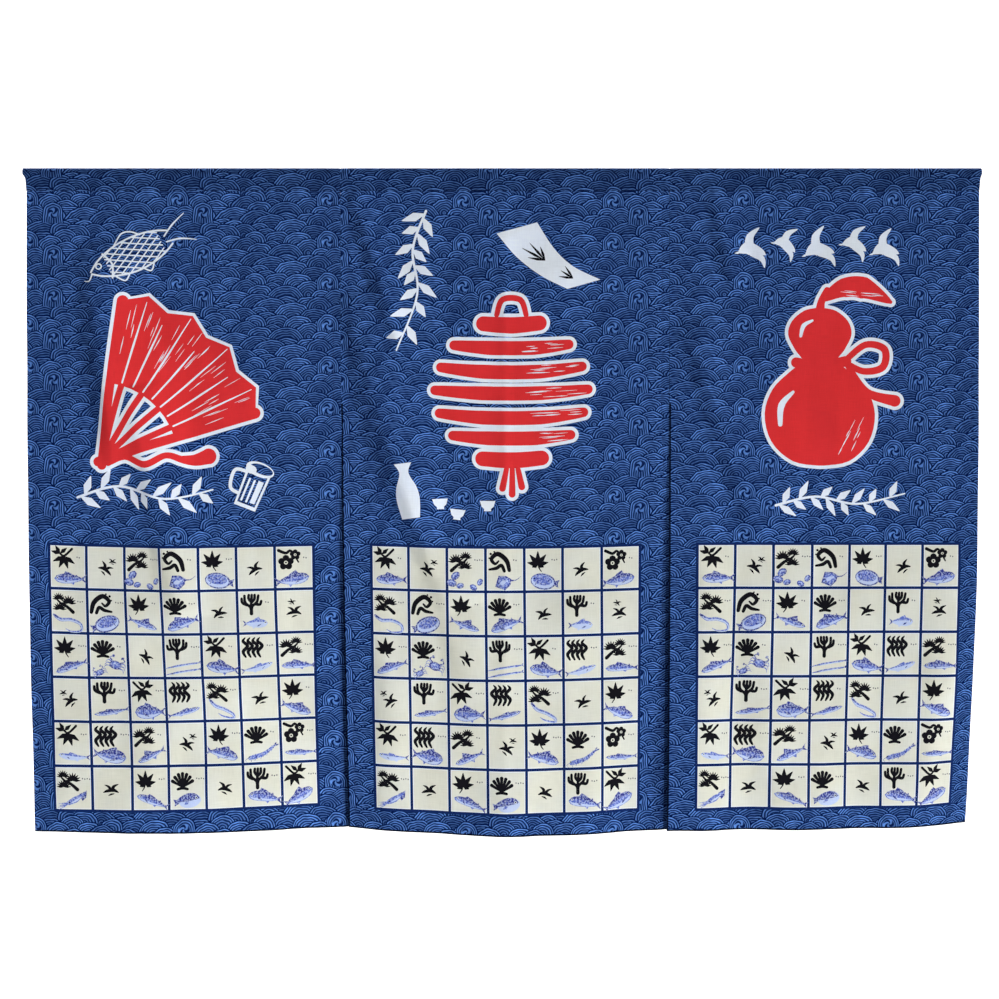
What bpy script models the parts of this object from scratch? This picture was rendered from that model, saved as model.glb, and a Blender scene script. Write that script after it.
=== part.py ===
"""Noren curtain: three hemmed cloth panels hanging from a sewn rod sleeve.

Metres. +X is the viewer's right, +Z is up and the printed side faces -Y. The origin is the
middle of the top edge. The panels are sewn edge to edge near the top and hang free below.
"""
from collections import namedtuple
import math

import bmesh
import bpy
import numpy as np

# Whole curtain
CURTAIN_WIDTH = 1.300
CURTAIN_DROP = 0.900
SLIT_TOP = 0.315          # below this drop the panels are no longer sewn to each other
CLOTH = 0.0015
SEAM_GAP = 0.0003

# Rod sleeve: a round bulge over the rod, closing to the two layers that are stitched together
SLEEVE_HEIGHT = 0.031
SLEEVE_DEPTH = 0.016
SLEEVE_MOUTH_HALF = 0.0002    # half the gap left between the layers just above the stitching
SLEEVE_STITCHING = 0.0025     # height of the closed strip at the foot of the sleeve
SLEEVE_ARC_STEPS = 10

# Hems: the cloth is doubled to the back along the free edges
HEM_THICKENING = 0.0008
SIDE_HEM = 0.010
FOOT_HEM = 0.018

# Slit edges: the panel on the right laps over the one on the left
LIP_FALLOFF = 0.012       # how far in from an edge its curl dies away
LIP_RISE = 0.10           # drop over which the curl grows below the seam
LAP = 0.0026              # how far a right-hand edge reaches behind its neighbour
LAP_START = 0.05
LAP_RISE = 0.15

# Swing: the cloth is flat near the sleeve and waves more and more towards the hem
SWING_START = 0.10
SWING_POWER = 2.0
LEAN_POWER = 2.5

# Mesh steps of each panel, inside its hems
COLUMNS = 30
ROWS = 26

CLOTH_BLUE = (0.030, 0.075, 0.230, 1.0)
CLOTH_ROUGHNESS = 0.85

# left and right are the edges' X at the sleeve. A lean is the edge's sideways shift at the hem,
# a lip is how far its slit edge curls towards the viewer, and sag lowers the panel's middle.
Panel = namedtuple("Panel", "name left right left_lean right_lean left_lip right_lip lap sag")
PANELS = (
    Panel("panel_left", -0.6459, -0.2196, 0.0125, 0.0089, 0.000, -0.008, LAP, 0.000),
    Panel("panel_centre", -0.2196, 0.2273, 0.0089, -0.0043, 0.003, -0.008, LAP, 0.005),
    Panel("panel_right", 0.2273, 0.6477, -0.0043, -0.0057, 0.003, 0.000, 0.0, 0.000),
)

# How far each panel's hem stands out towards the viewer, in millimetres, at every eighth of
# its width from left to right.
HEM_OUT_MM = {
    "panel_left": (2, 9, 15, 20, 17, 10, -4, -20, -26),
    "panel_centre": (-30, -9, -5, 7, 17, 10, 7, -6, -10),
    "panel_right": (-2, 1, -11, -5, -8, -18, -19, -19, -19),
}

# Creases left by folding the cloth: low ridges that run from head to foot, bowed sideways. The
# steep flank of a ridge lies on that line, its crest just to the right, and its other flank
# falls away gently.
Crease = namedtuple("Crease", "x_head drop_head x_foot drop_foot bow steep easy rise")
CREASES = (
    Crease(-0.642, 0.030, -0.407, 0.783, -0.003, 0.022, 0.055, 0.0085),
    Crease(-0.465, 0.654, -0.315, 0.763, 0.000, 0.016, 0.030, 0.0030),
    Crease(-0.207, 0.037, -0.120, 0.304, 0.000, 0.010, 0.022, 0.0032),
    Crease(-0.225, 0.179, -0.055, 0.722, -0.018, 0.014, 0.050, 0.0085),
    Crease(-0.182, 0.641, -0.150, 0.804, 0.006, 0.012, 0.020, 0.0030),
    Crease(-0.001, 0.030, -0.001, 0.899, 0.000, 0.007, 0.007, 0.0022),
    Crease(0.249, 0.091, 0.290, 0.247, 0.000, 0.010, 0.020, 0.0020),
    Crease(0.225, 0.213, 0.315, 0.505, -0.003, 0.015, 0.040, 0.0050),
    Crease(0.334, 0.532, 0.328, 0.804, 0.000, 0.014, 0.030, 0.0030),
    Crease(0.581, 0.641, 0.574, 0.858, 0.000, 0.016, 0.030, 0.0030),
)

# The right panel's lower corner turns back beyond a slanting line, from the panel's side
# down to its hem.
CORNER_LINE_TOP = (0.6477, 0.573)
CORNER_LINE_FOOT = (0.5605, 0.900)
CORNER_SLOPE = 0.48
CORNER_SOFTNESS = 0.006


def smooth_step(value):
    """Ease from 0 to 1 as the value goes from 0 to 1, and hold outside."""
    clipped = min(max(value, 0.0), 1.0)
    return clipped * clipped * (3.0 - 2.0 * clipped)


def hem_out(name, across):
    """A smooth curve through the hem's row of offsets, in metres."""
    row = [offset / 1000.0 for offset in HEM_OUT_MM[name]]
    steps = len(row) - 1
    place = min(max(across, 0.0), 1.0) * steps
    index = min(int(place), steps - 1)
    part = place - index
    before = row[max(index - 1, 0)]
    start = row[index]
    end = row[index + 1]
    after = row[min(index + 2, steps)]
    leave = (end - before) / 2.0
    arrive = (after - start) / 2.0
    return ((2 * part**3 - 3 * part**2 + 1) * start + (part**3 - 2 * part**2 + part) * leave
            + (3 * part**2 - 2 * part**3) * end + (part**3 - part**2) * arrive)


def crease_out(crease, x, drop):
    """Offset that one crease gives at a place on the cloth."""
    along = np.array((crease.x_foot - crease.x_head, crease.drop_foot - crease.drop_head))
    length = float(np.linalg.norm(along))
    along /= length
    place = np.array((x - crease.x_head, drop - crease.drop_head))
    share = float(place @ along) / length
    if share <= 0.0 or share >= 1.0:
        return 0.0
    bend = crease.bow * 4.0 * share * (1.0 - share)
    sideways = float(place[0] * along[1] - place[1] * along[0]) - bend
    past_crest = sideways - 0.7 * crease.steep
    width = crease.steep if past_crest < 0.0 else crease.easy
    fade = math.sin(math.pi * share) ** 0.7
    return crease.rise * fade * math.exp(-((past_crest / width) ** 2))


def corner_out(x, drop):
    """Offset of the corner that turns back."""
    top = np.array(CORNER_LINE_TOP)
    line = np.array(CORNER_LINE_FOOT) - top
    line /= np.linalg.norm(line)
    place = np.array((x, drop)) - top
    beyond = float(place[0] * line[1] - place[1] * line[0])
    softened = CORNER_SOFTNESS * math.log1p(math.exp(min(beyond / CORNER_SOFTNESS, 60.0)))
    return -CORNER_SLOPE * softened


def edges_at(panel, drop):
    """X of the panel's two edges at a drop."""
    lean = (drop / CURTAIN_DROP) ** LEAN_POWER
    lap = panel.lap * smooth_step((drop - SLIT_TOP - LAP_START) / LAP_RISE)
    half_gap = SEAM_GAP / 2.0
    left = panel.left + half_gap + panel.left_lean * lean
    right = panel.right - half_gap + panel.right_lean * lean + lap
    return left, right


def cloth_point(panel, across, drop):
    """A point on the panel's printed side."""
    left, right = edges_at(panel, drop)
    x = left + across * (right - left)
    swing = max(drop - SWING_START, 0.0) / (CURTAIN_DROP - SWING_START)
    curl = smooth_step((drop - SLIT_TOP) / LIP_RISE)
    out = hem_out(panel.name, across) * swing**SWING_POWER
    out += curl * panel.left_lip * math.exp(-(x - left) / LIP_FALLOFF)
    out += curl * panel.right_lip * math.exp(-(right - x) / LIP_FALLOFF)
    out += corner_out(x, drop)
    out += sum(crease_out(crease, x, drop) for crease in CREASES)
    sag = panel.sag * math.sin(math.pi * across) * smooth_step(drop / SLIT_TOP)
    return x, -out, -drop - sag


def across_steps(panel):
    """Column places from 0 to 1, with a narrow column for the hem at each side."""
    hem = SIDE_HEM / (panel.right - panel.left)
    return [0.0] + list(np.linspace(hem, 1.0 - hem, COLUMNS)) + [1.0]


def drop_steps():
    """Row drops, with one row for the hem at the foot."""
    head = SLEEVE_HEIGHT + SEAM_GAP
    return list(np.linspace(head, CURTAIN_DROP - FOOT_HEM, ROWS)) + [CURTAIN_DROP]


def build_panel(panel):
    """One panel as a closed sheet: printed side, back, and the rim that joins them."""
    columns = across_steps(panel)
    rows = drop_steps()
    mesh = bmesh.new()
    front = []
    back = []
    for row, drop in enumerate(rows):
        front_row = []
        back_row = []
        for column, across in enumerate(columns):
            x, y, z = cloth_point(panel, across, drop)
            at_side = column in (0, len(columns) - 1)
            at_foot = row == len(rows) - 1
            thickness = CLOTH + (HEM_THICKENING if at_side or at_foot else 0.0)
            front_row.append(mesh.verts.new((x, y, z)))
            back_row.append(mesh.verts.new((x, y + thickness, z)))
        front.append(front_row)
        back.append(back_row)
    last_row = len(rows) - 1
    last_column = len(columns) - 1
    for j in range(last_row):
        for i in range(last_column):
            mesh.faces.new((front[j][i], front[j + 1][i], front[j + 1][i + 1], front[j][i + 1]))
            mesh.faces.new((back[j][i], back[j][i + 1], back[j + 1][i + 1], back[j + 1][i]))
    for j in range(last_row):
        for i, turned in ((0, False), (last_column, True)):
            ring = (front[j][i], back[j][i], back[j + 1][i], front[j + 1][i])
            mesh.faces.new(tuple(reversed(ring)) if turned else ring)
    for i in range(last_column):
        for j, turned in ((0, True), (last_row, False)):
            ring = (front[j][i], back[j][i], back[j][i + 1], front[j][i + 1])
            mesh.faces.new(tuple(reversed(ring)) if turned else ring)
    return finish_object(panel.name, mesh)


def drop_outline(radius, centre_z, foot_z, foot_half):
    """A drop shape in the YZ plane: an arc over the rod, tangent to two straight sides."""
    to_foot = math.atan2(foot_z - centre_z, foot_half)
    reach = math.hypot(foot_half, foot_z - centre_z)
    start = to_foot + math.acos(radius / reach)
    end = math.pi - start
    points = [(foot_half, foot_z)]
    for step in range(SLEEVE_ARC_STEPS + 1):
        angle = start + (end - start) * step / SLEEVE_ARC_STEPS
        points.append((radius * math.cos(angle), centre_z + radius * math.sin(angle)))
    points.append((-foot_half, foot_z))
    return points


def build_sleeve():
    """The rod sleeve along the top: a drop-shaped tube, open at both ends."""
    radius = SLEEVE_DEPTH / 2.0
    outer = drop_outline(radius, -radius, -SLEEVE_HEIGHT, CLOTH)
    inner = drop_outline(radius - CLOTH, -radius, SLEEVE_STITCHING - SLEEVE_HEIGHT,
                         SLEEVE_MOUTH_HALF)
    mesh = bmesh.new()
    ends = []
    for x in (-CURTAIN_WIDTH / 2.0, CURTAIN_WIDTH / 2.0):
        outer_ring = [mesh.verts.new((x, y, z)) for y, z in outer]
        inner_ring = [mesh.verts.new((x, y, z)) for y, z in inner]
        ends.append((outer_ring, inner_ring))
    (outer_left, inner_left), (outer_right, inner_right) = ends
    count = len(outer)
    for index in range(count):
        after = (index + 1) % count
        mesh.faces.new((outer_left[index], outer_right[index],
                        outer_right[after], outer_left[after]))
        mesh.faces.new((inner_left[index], inner_left[after],
                        inner_right[after], inner_right[index]))
        mesh.faces.new((outer_left[index], outer_left[after],
                        inner_left[after], inner_left[index]))
        mesh.faces.new((outer_right[index], inner_right[index],
                        inner_right[after], outer_right[after]))
    return finish_object("heading_sleeve", mesh)


def cloth_material():
    """Plain blue woven cloth."""
    material = bpy.data.materials.new("cloth")
    material.use_nodes = True
    shader = material.node_tree.nodes["Principled BSDF"]
    shader.inputs["Base Color"].default_value = CLOTH_BLUE
    shader.inputs["Roughness"].default_value = CLOTH_ROUGHNESS
    shader.inputs["Metallic"].default_value = 0.0
    return material


def finish_object(name, mesh):
    """Turn a bmesh into a named object with its own cloth material."""
    bmesh.ops.recalc_face_normals(mesh, faces=mesh.faces[:])
    data = bpy.data.meshes.new(name)
    mesh.to_mesh(data)
    mesh.free()
    data.materials.append(cloth_material())
    data.shade_smooth()
    data.set_sharp_from_angle(angle=math.radians(40.0))
    thing = bpy.data.objects.new(name, data)
    bpy.context.scene.collection.objects.link(thing)
    return thing


def main():
    for thing in list(bpy.data.objects):
        bpy.data.objects.remove(thing, do_unlink=True)
    build_sleeve()
    for panel in PANELS:
        build_panel(panel)


main()
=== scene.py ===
"""Noren curtain: printed cloth on the folds of its solids, with its sleeve, hems and stitching.

Metres, +X to the viewer's right, +Z up, and the printed side faces -Y. Prints are drawn in
millimetres of flat cloth, from a panel's left edge to the right and from the top edge down.
"""

from collections import namedtuple
import math
import random

import bpy
import numpy as np
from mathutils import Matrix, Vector
from mathutils.geometry import delaunay_2d_cdt


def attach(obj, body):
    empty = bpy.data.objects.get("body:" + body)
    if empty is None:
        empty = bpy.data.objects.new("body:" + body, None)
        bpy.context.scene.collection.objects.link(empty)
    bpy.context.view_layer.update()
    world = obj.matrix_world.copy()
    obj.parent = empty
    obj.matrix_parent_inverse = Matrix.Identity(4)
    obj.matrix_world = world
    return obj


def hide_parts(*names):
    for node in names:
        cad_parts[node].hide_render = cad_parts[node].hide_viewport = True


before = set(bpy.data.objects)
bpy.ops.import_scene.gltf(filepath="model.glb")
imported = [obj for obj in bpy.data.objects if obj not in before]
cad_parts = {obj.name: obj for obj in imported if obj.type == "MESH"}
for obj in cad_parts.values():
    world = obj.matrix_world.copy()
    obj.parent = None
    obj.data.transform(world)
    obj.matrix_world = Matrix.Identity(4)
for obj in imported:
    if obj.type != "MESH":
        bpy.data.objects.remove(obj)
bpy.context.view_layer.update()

MM = 0.001

# Sizes of the cloth, as its solids have them
CURTAIN_DROP = 0.900
SLIT_TOP = 0.315
SEAM_GAP = 0.0003
SLEEVE_HEIGHT = 0.031
SLEEVE_DEPTH = 0.016
SIDE_HEM = 0.010
FOOT_HEM = 0.018

# How the panels hang, in metres. A lip is a slit's edge that stands out from the cloth, and a
# lap is how far the edge below goes on under it. Lips and laps are this file's own.
LEFT_LIP_FALLOFF = 0.022
RIGHT_LIP_FALLOFF = 0.012
LIP_RISE = 0.35           # drop over which a lip comes up
LAP = 0.0026
LAP_START = 0.01          # below the top of the slit
LAP_RISE = 0.08
SWING_START = 0.10
SWING_POWER = 2.0
LEAN_POWER = 2.5

Panel = namedtuple("Panel", "name left right left_lean right_lean left_lip right_lip lap sag")
PANELS = (
    Panel("panel_left", -0.6459, -0.2196, 0.0125, 0.0089, 0.000, -0.006, LAP, 0.000),
    Panel("panel_centre", -0.2196, 0.2273, 0.0089, -0.0043, 0.004, -0.001, LAP, 0.005),
    Panel("panel_right", 0.2273, 0.6477, -0.0043, -0.0020, 0.004, 0.000, 0.0, 0.000),
)
# How far the foot swings out at even steps across each panel
HEM_OUT_MM = {
    "panel_left": (2, 9, 15, 20, 17, 10, -4, -20, -26),
    "panel_centre": (-30, -9, -5, 7, 17, 10, 7, -6, -10),
    "panel_right": (-2, 1, -11, -5, -8, -18, -19, -19, -19),
}
# A crease is a low ridge. Its steep, shaded flank lies on the line from head to foot, its crest
# just to the right, and its other flank falls away gently. The solids' creases are shallower.
Crease = namedtuple("Crease", "x_head drop_head x_foot drop_foot bow steep easy rise")
CREASES = (
    Crease(-0.572, 0.105, -0.533, 0.410, 0.000, 0.017, 0.050, 0.0160),
    Crease(-0.513, 0.300, -0.446, 0.615, 0.000, 0.017, 0.045, 0.0130),
    Crease(-0.465, 0.654, -0.315, 0.763, 0.000, 0.016, 0.030, 0.0030),
    Crease(-0.209, 0.031, -0.142, 0.255, 0.000, 0.009, 0.022, 0.0110),
    Crease(-0.220, 0.172, -0.076, 0.600, -0.011, 0.0135, 0.050, 0.0160),
    Crease(-0.100, 0.560, -0.050, 0.722, 0.000, 0.014, 0.030, 0.0040),
    Crease(-0.182, 0.641, -0.150, 0.804, 0.006, 0.012, 0.020, 0.0030),
    Crease(-0.001, 0.030, -0.001, 0.899, 0.000, 0.007, 0.007, 0.0022),
    Crease(0.278, 0.031, 0.311, 0.175, 0.000, 0.010, 0.020, 0.0090),
    Crease(0.243, 0.212, 0.338, 0.510, 0.000, 0.012, 0.040, 0.0130),
    Crease(0.345, 0.031, 0.347, 0.300, 0.000, 0.008, 0.012, 0.0012),
    Crease(0.334, 0.532, 0.328, 0.804, 0.000, 0.014, 0.030, 0.0030),
    Crease(0.581, 0.641, 0.574, 0.858, 0.000, 0.016, 0.030, 0.0030),
)
CREST_AT = 0.7            # share of the steep flank's width from the line to the crest
# The right panel's lower corner turns back beyond a slanting line.
CORNER_LINE_TOP = (0.6477, 0.573)
CORNER_LINE_FOOT = (0.5605, 0.900)
CORNER_SLOPE = 0.50
CORNER_SOFTNESS = 0.006

# Cloth, hems, seams and stitches of this file, in metres where no other unit is named
SHEET = 0.0009            # thickness of the cloth
HEM_FOLD = 0.0008         # how much thicker the turned hem is
STITCH_DIP = 0.0003
STITCH_DIP_HALF = 1.2     # mm
GRID_STEP = 5.6           # mm, the widest mesh step
# Painted shade: these strips and tones darken the cloth's colour at the foot, along a slit, under
# a slit's other edge and over the sleeve
FOOT_SHADE_STRIP = 2.3           # mm, strip at the very foot whose colour is darkened as painted shade
FOOT_PAINTED_SHADE = 0.10
SLIT_SHADE_STRIP = 2.2           # mm, strip along the upper edge of a slit, darkened as painted shade
SLIT_EDGE_PAINTED_SHADE = 0.08
UNDER_HEM_PAINTED_SHADE = 0.85     # painted shade on the hem that lies under a slit's other edge
UNDER_SHADE_STRIP = 6.2          # mm, its last strip, with deeper painted shade
UNDER_EDGE_PAINTED_SHADE = 0.30
SLEEVE_PAINTED_SHADE = 0.68        # painted shade: the whole sleeve's colour is darkened
TAPE_HALF = 4.0           # mm, half the width of the seam allowances behind the seams
TAPE = 0.0006
SLEEVE_SET_IN = 0.0003
SLEEVE_SEAM_DIP = 0.0006
SLEEVE_SEAM_HALF = 0.0012
SLEEVE_STITCH_STRIP = 0.0025
SLEEVE_OVERHANG = 0.0036  # past the panels' edge on the left
SLEEVE_OVERHANG_RIGHT = 0.0016
THREAD = 0.0005
STITCH = 3.2              # mm
STITCH_PART = (0.14, 0.86)  # where a thread starts and ends in its stitch
SHARP_ANGLE = math.radians(50.0)
NEAR = 0.01               # mm, slack when places are compared

# Printed table of each panel, in mm of its flat cloth
TABLE_COLUMNS = 7
TABLE_ROWS = 6
TABLE_TOP = 510.0
TABLE_FOOT = 870.6
TABLE_LINE = 3.8
CELL_RIM = 0.9            # light rim inside each cell
TABLE_MARGINS = {
    "panel_left": (28.6, 40.2),
    "panel_centre": (39.2, 41.6),
    "panel_right": (38.0, 27.0),
}

# Where the bunched cloth carries the table's upright lines and rows, at two drops: how far each
# of the eight upright lines lies to the right of an even spacing, and how far below a level row
Shift = namedtuple("Shift", "drop right down")
PRINT_SHIFTS = {
    "panel_left": (Shift(514.0, (-0.8, -0.9, -0.6, -3.1, -2.4, -3.4, -3.0, -1.8),
                         (0, 1.8, 3.2, 4.3, 4.2, 3.5, 2.5, 1.5)),
                   Shift(817.0, (0.5, 1.8, 6.4, 4.6, 3.6, 1.2, 1.0, -2.1),
                         (0, 0, -0.5, -1.0, -1.5, -2.0, -2.5, -3.0))),
    "panel_centre": (Shift(514.0, (0, -1.6, -1.2, -1.2, -0.8, -1.1, 0.1, 0), (0,) * 8),
                     Shift(817.0, (0, -1.1, -0.5, 0.5, 1.4, 1.0, 1.8, 0), (0,) * 8)),
    "panel_right": (Shift(514.0, (0.4, 1.7, 2.6, 4.4, 4.6, 3.4, 2.8, 2.3), (0,) * 8),
                    Shift(817.0, (1.1, -3.0, -0.1, 2.1, 1.9, 0.4, -0.4, 0.4), (0,) * 8)),
}
SHIFT_START = 300.0

# The wave ground repeats every tile. Each panel was cut from the bolt at its own place: where
# the crown of the tile's first fan lies on it.
TILE = (203.7, 56.8)
WAVE_ORIGIN = {
    "panel_left": (0.6, 29.7),
    "panel_centre": (165.9, 31.9),
    "panel_right": (99.4, 29.4),
}


def srgb(red, green, blue):
    """Linear colour of an 8-bit screen colour."""
    def linear(value):
        value /= 255.0
        return value / 12.92 if value <= 0.04045 else ((value + 0.055) / 1.055) ** 2.4
    return (linear(red), linear(green), linear(blue), 1.0)


# Inks, in the order of their numbers
Ink = namedtuple("Ink", "name colour")
INKS = (
    Ink("ground", srgb(40, 66, 118)),
    Ink("navy", srgb(20, 40, 92)),
    Ink("white", srgb(230, 239, 253)),
    Ink("cream", srgb(218, 220, 210)),
    Ink("red", srgb(222, 52, 56)),
    Ink("black", srgb(22, 22, 28)),
    Ink("sea_dark", srgb(42, 50, 138)),
    Ink("sea", srgb(88, 108, 196)),
    Ink("sea_pale", srgb(186, 203, 240)),
    Ink("grey", srgb(92, 94, 104)),
)
INK = {ink.name: number for number, ink in enumerate(INKS)}
WASHED = ("sea_dark", "sea", "sea_pale")  # printed like an uneven wash, marked by an alpha of 0


def smooth_step(value):
    """Ease from 0 to 1 as the value goes from 0 to 1, and hold outside."""
    clipped = np.clip(value, 0.0, 1.0)
    return clipped * clipped * (3.0 - 2.0 * clipped)


def hermite(before, start, end, after, part):
    """A place on the smooth curve from start to end."""
    leave = (end - before) / 2.0
    arrive = (after - start) / 2.0
    return ((2 * part**3 - 3 * part**2 + 1) * start + (part**3 - 2 * part**2 + part) * leave
            + (3 * part**2 - 2 * part**3) * end + (part**3 - part**2) * arrive)


def hem_out(name, across):
    """A smooth curve through the hem's row of offsets, in metres."""
    row = np.array(HEM_OUT_MM[name]) * MM
    steps = len(row) - 1
    place = np.clip(across, 0.0, 1.0) * steps
    index = np.minimum(place.astype(int), steps - 1)
    return hermite(row[np.maximum(index - 1, 0)], row[index], row[index + 1],
                   row[np.minimum(index + 2, steps)], place - index)


def crease_out(crease, x, drop):
    """Offset that one crease gives at places on the cloth."""
    run = crease.x_foot - crease.x_head
    fall = crease.drop_foot - crease.drop_head
    length = math.hypot(run, fall)
    run /= length
    fall /= length
    share = ((x - crease.x_head) * run + (drop - crease.drop_head) * fall) / length
    held = np.clip(share, 0.0, 1.0)
    bend = crease.bow * 4.0 * held * (1.0 - held)
    sideways = (x - crease.x_head) * fall - (drop - crease.drop_head) * run - bend
    past_crest = sideways - CREST_AT * crease.steep
    width = np.where(past_crest < 0.0, crease.steep, crease.easy)
    fade = np.maximum(np.sin(math.pi * held), 0.0) ** 0.5
    return crease.rise * fade * np.exp(-((past_crest / width) ** 2))


def corner_out(x, drop):
    """Offset of the corner that turns back."""
    run = CORNER_LINE_FOOT[0] - CORNER_LINE_TOP[0]
    fall = CORNER_LINE_FOOT[1] - CORNER_LINE_TOP[1]
    length = math.hypot(run, fall)
    beyond = ((x - CORNER_LINE_TOP[0]) * fall - (drop - CORNER_LINE_TOP[1]) * run) / length
    return -CORNER_SLOPE * CORNER_SOFTNESS * np.logaddexp(0.0, beyond / CORNER_SOFTNESS)


def ripple_out(x, drop):
    """Slight unevenness of cloth that has been folded and hung."""
    free = smooth_step((drop - 0.04) / 0.3)
    waves = 0.0006 * np.sin(61.0 * x + 9.0 * drop + 2.6 * np.sin(7.0 * drop))
    waves += 0.0005 * np.sin(97.0 * x - 14.0 * drop + 1.3 + 2.0 * np.sin(11.0 * drop))
    waves += 0.0004 * np.sin(38.0 * drop + 12.0 * x + 1.9 * np.sin(17.0 * x))
    waves += 0.0002 * np.sin(211.0 * x + 3.0 * drop + 2.0 * np.sin(4.0 * drop + 9.0 * x))
    return waves * (0.25 + 0.75 * free)


def edges_at(panel, drop):
    """X of the panel's two edges at a drop."""
    lean = (drop / CURTAIN_DROP) ** LEAN_POWER
    lap = panel.lap * smooth_step((drop - SLIT_TOP - LAP_START) / LAP_RISE)
    half_gap = SEAM_GAP / 2.0
    left = panel.left + half_gap + panel.left_lean * lean
    right = panel.right - half_gap + panel.right_lean * lean + lap
    return left, right


def cloth_points(panel, across, drop):
    """Places on the panel's printed side, one row for each pair of across and drop."""
    left, right = edges_at(panel, drop)
    x = left + across * (right - left)
    swing = np.maximum(drop - SWING_START, 0.0) / (CURTAIN_DROP - SWING_START)
    curl = smooth_step((drop - SLIT_TOP) / LIP_RISE)
    out = hem_out(panel.name, across) * swing**SWING_POWER
    out += curl * panel.left_lip * np.exp(-(x - left) / LEFT_LIP_FALLOFF)
    out += curl * panel.right_lip * np.exp(-(right - x) / RIGHT_LIP_FALLOFF)
    out += corner_out(x, drop)
    for crease in CREASES:
        out += crease_out(crease, x, drop)
    out += ripple_out(x, drop)
    sag = panel.sag * np.sin(math.pi * across) * smooth_step(drop / SLIT_TOP)
    return np.stack((x, -out, -drop - sag), axis=1)


# Drawing in millimetres, x to the right and y down
def smooth_line(points, steps=6):
    """Points along a smooth curve through the given ones."""
    marks = np.array(points, dtype=float)
    last = len(marks) - 1
    line = []
    for index in range(last):
        around = (marks[max(index - 1, 0)], marks[index], marks[index + 1],
                  marks[min(index + 2, last)])
        line += [hermite(*around, step / steps) for step in range(steps)]
    line.append(marks[last])
    return np.array(line)


def brush(points, widths, steps=6):
    """Outline of a stroke along a smooth curve, with a width at each of its points."""
    line = smooth_line(points, steps)
    places = np.linspace(0.0, 1.0, len(line))
    half = np.interp(places, np.linspace(0.0, 1.0, len(widths)), widths) / 2.0
    along = np.gradient(line, axis=0)
    along /= np.maximum(np.linalg.norm(along, axis=1, keepdims=True), 1e-9)
    side = np.stack((-along[:, 1], along[:, 0]), axis=1)
    left = line + side * half[:, None]
    right = line - side * half[:, None]
    outline = list(left)
    for angle in np.linspace(0.0, math.pi, 5 + int(half[-1]))[1:-1]:
        round_end = side[-1] * math.cos(angle) + along[-1] * math.sin(angle)
        outline.append(line[-1] + half[-1] * round_end)
    outline += list(right[::-1])
    for angle in np.linspace(0.0, math.pi, 5 + int(half[0]))[1:-1]:
        round_end = side[0] * math.cos(angle) + along[0] * math.sin(angle)
        outline.append(line[0] - half[0] * round_end)
    return np.array(outline)


def blade(x, y, degrees, length, width):
    """A leaf that grows from x, y. At 0 degrees it points right, at 90 degrees up."""
    angle = math.radians(degrees)
    tip = (x + length * math.cos(angle), y - length * math.sin(angle))
    middle = (x + 0.45 * (tip[0] - x), y + 0.45 * (tip[1] - y))
    return brush([(x, y), middle, tip], (0.25, width, 0.25), 5)


def disc(x, y, wide, high=None, degrees=0.0, steps=18):
    """An ellipse with these half sizes."""
    turns = np.linspace(0.0, 2.0 * math.pi, steps, endpoint=False)
    high = wide if high is None else high
    angle = math.radians(degrees)
    a = wide * np.cos(turns)
    b = high * np.sin(turns)
    return np.stack((x + a * math.cos(angle) + b * math.sin(angle),
                     y - a * math.sin(angle) + b * math.cos(angle)), axis=1)


def placed(shapes, x, y, degrees=0.0, scale=1.0, mirrored=False):
    """The same shapes turned, scaled and moved."""
    angle = math.radians(degrees)
    flip = -1.0 if mirrored else 1.0
    moved = []
    for ink, outline in shapes:
        a = outline[:, 0] * flip * scale
        b = outline[:, 1] * scale
        moved.append((ink, np.stack((x + a * math.cos(angle) + b * math.sin(angle),
                                     y - a * math.sin(angle) + b * math.cos(angle)), axis=1)))
    return moved


def thinned(outline, slack):
    """The same outline without the points that lie within the slack of a straight run."""
    def keep(first, last):
        if last - first < 2:
            return []
        run = outline[last % count] - outline[first]
        length = max(math.hypot(*run), 1e-9)
        rest = outline[first + 1:last] - outline[first]
        off = np.abs(rest[:, 0] * run[1] - rest[:, 1] * run[0]) / length
        worst = int(off.argmax())
        if off[worst] < slack:
            return []
        middle = first + 1 + worst
        return keep(first, middle) + [middle] + keep(middle, last)

    count = len(outline)
    far = int(np.linalg.norm(outline - outline[0], axis=1).argmax())
    kept = [0] + keep(0, far) + [far] + keep(far, count)
    return outline[kept] if len(kept) > 3 else outline


def in_ink(ink, outlines):
    return [(ink, outline) for outline in outlines]


# Sea animals, drawn about 38 mm long with the head to the left
def body_line(length, depth, bend, low, high):
    """Part of a fish's body between two heights, from -1 for the back to 1 for the belly."""
    share = np.linspace(0, 1, 13)
    form = share**0.55 * (1 - share) ** 0.9
    half = depth / 2 * form / form.max() + 0.09 * depth * share
    x = (share - 0.5) * length
    middle = bend * np.sin(math.pi * share)
    upper = np.stack((x, middle + low * half), axis=1)
    lower = np.stack((x, middle + high * half), axis=1)
    return np.concatenate((upper, lower[::-1]))


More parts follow.
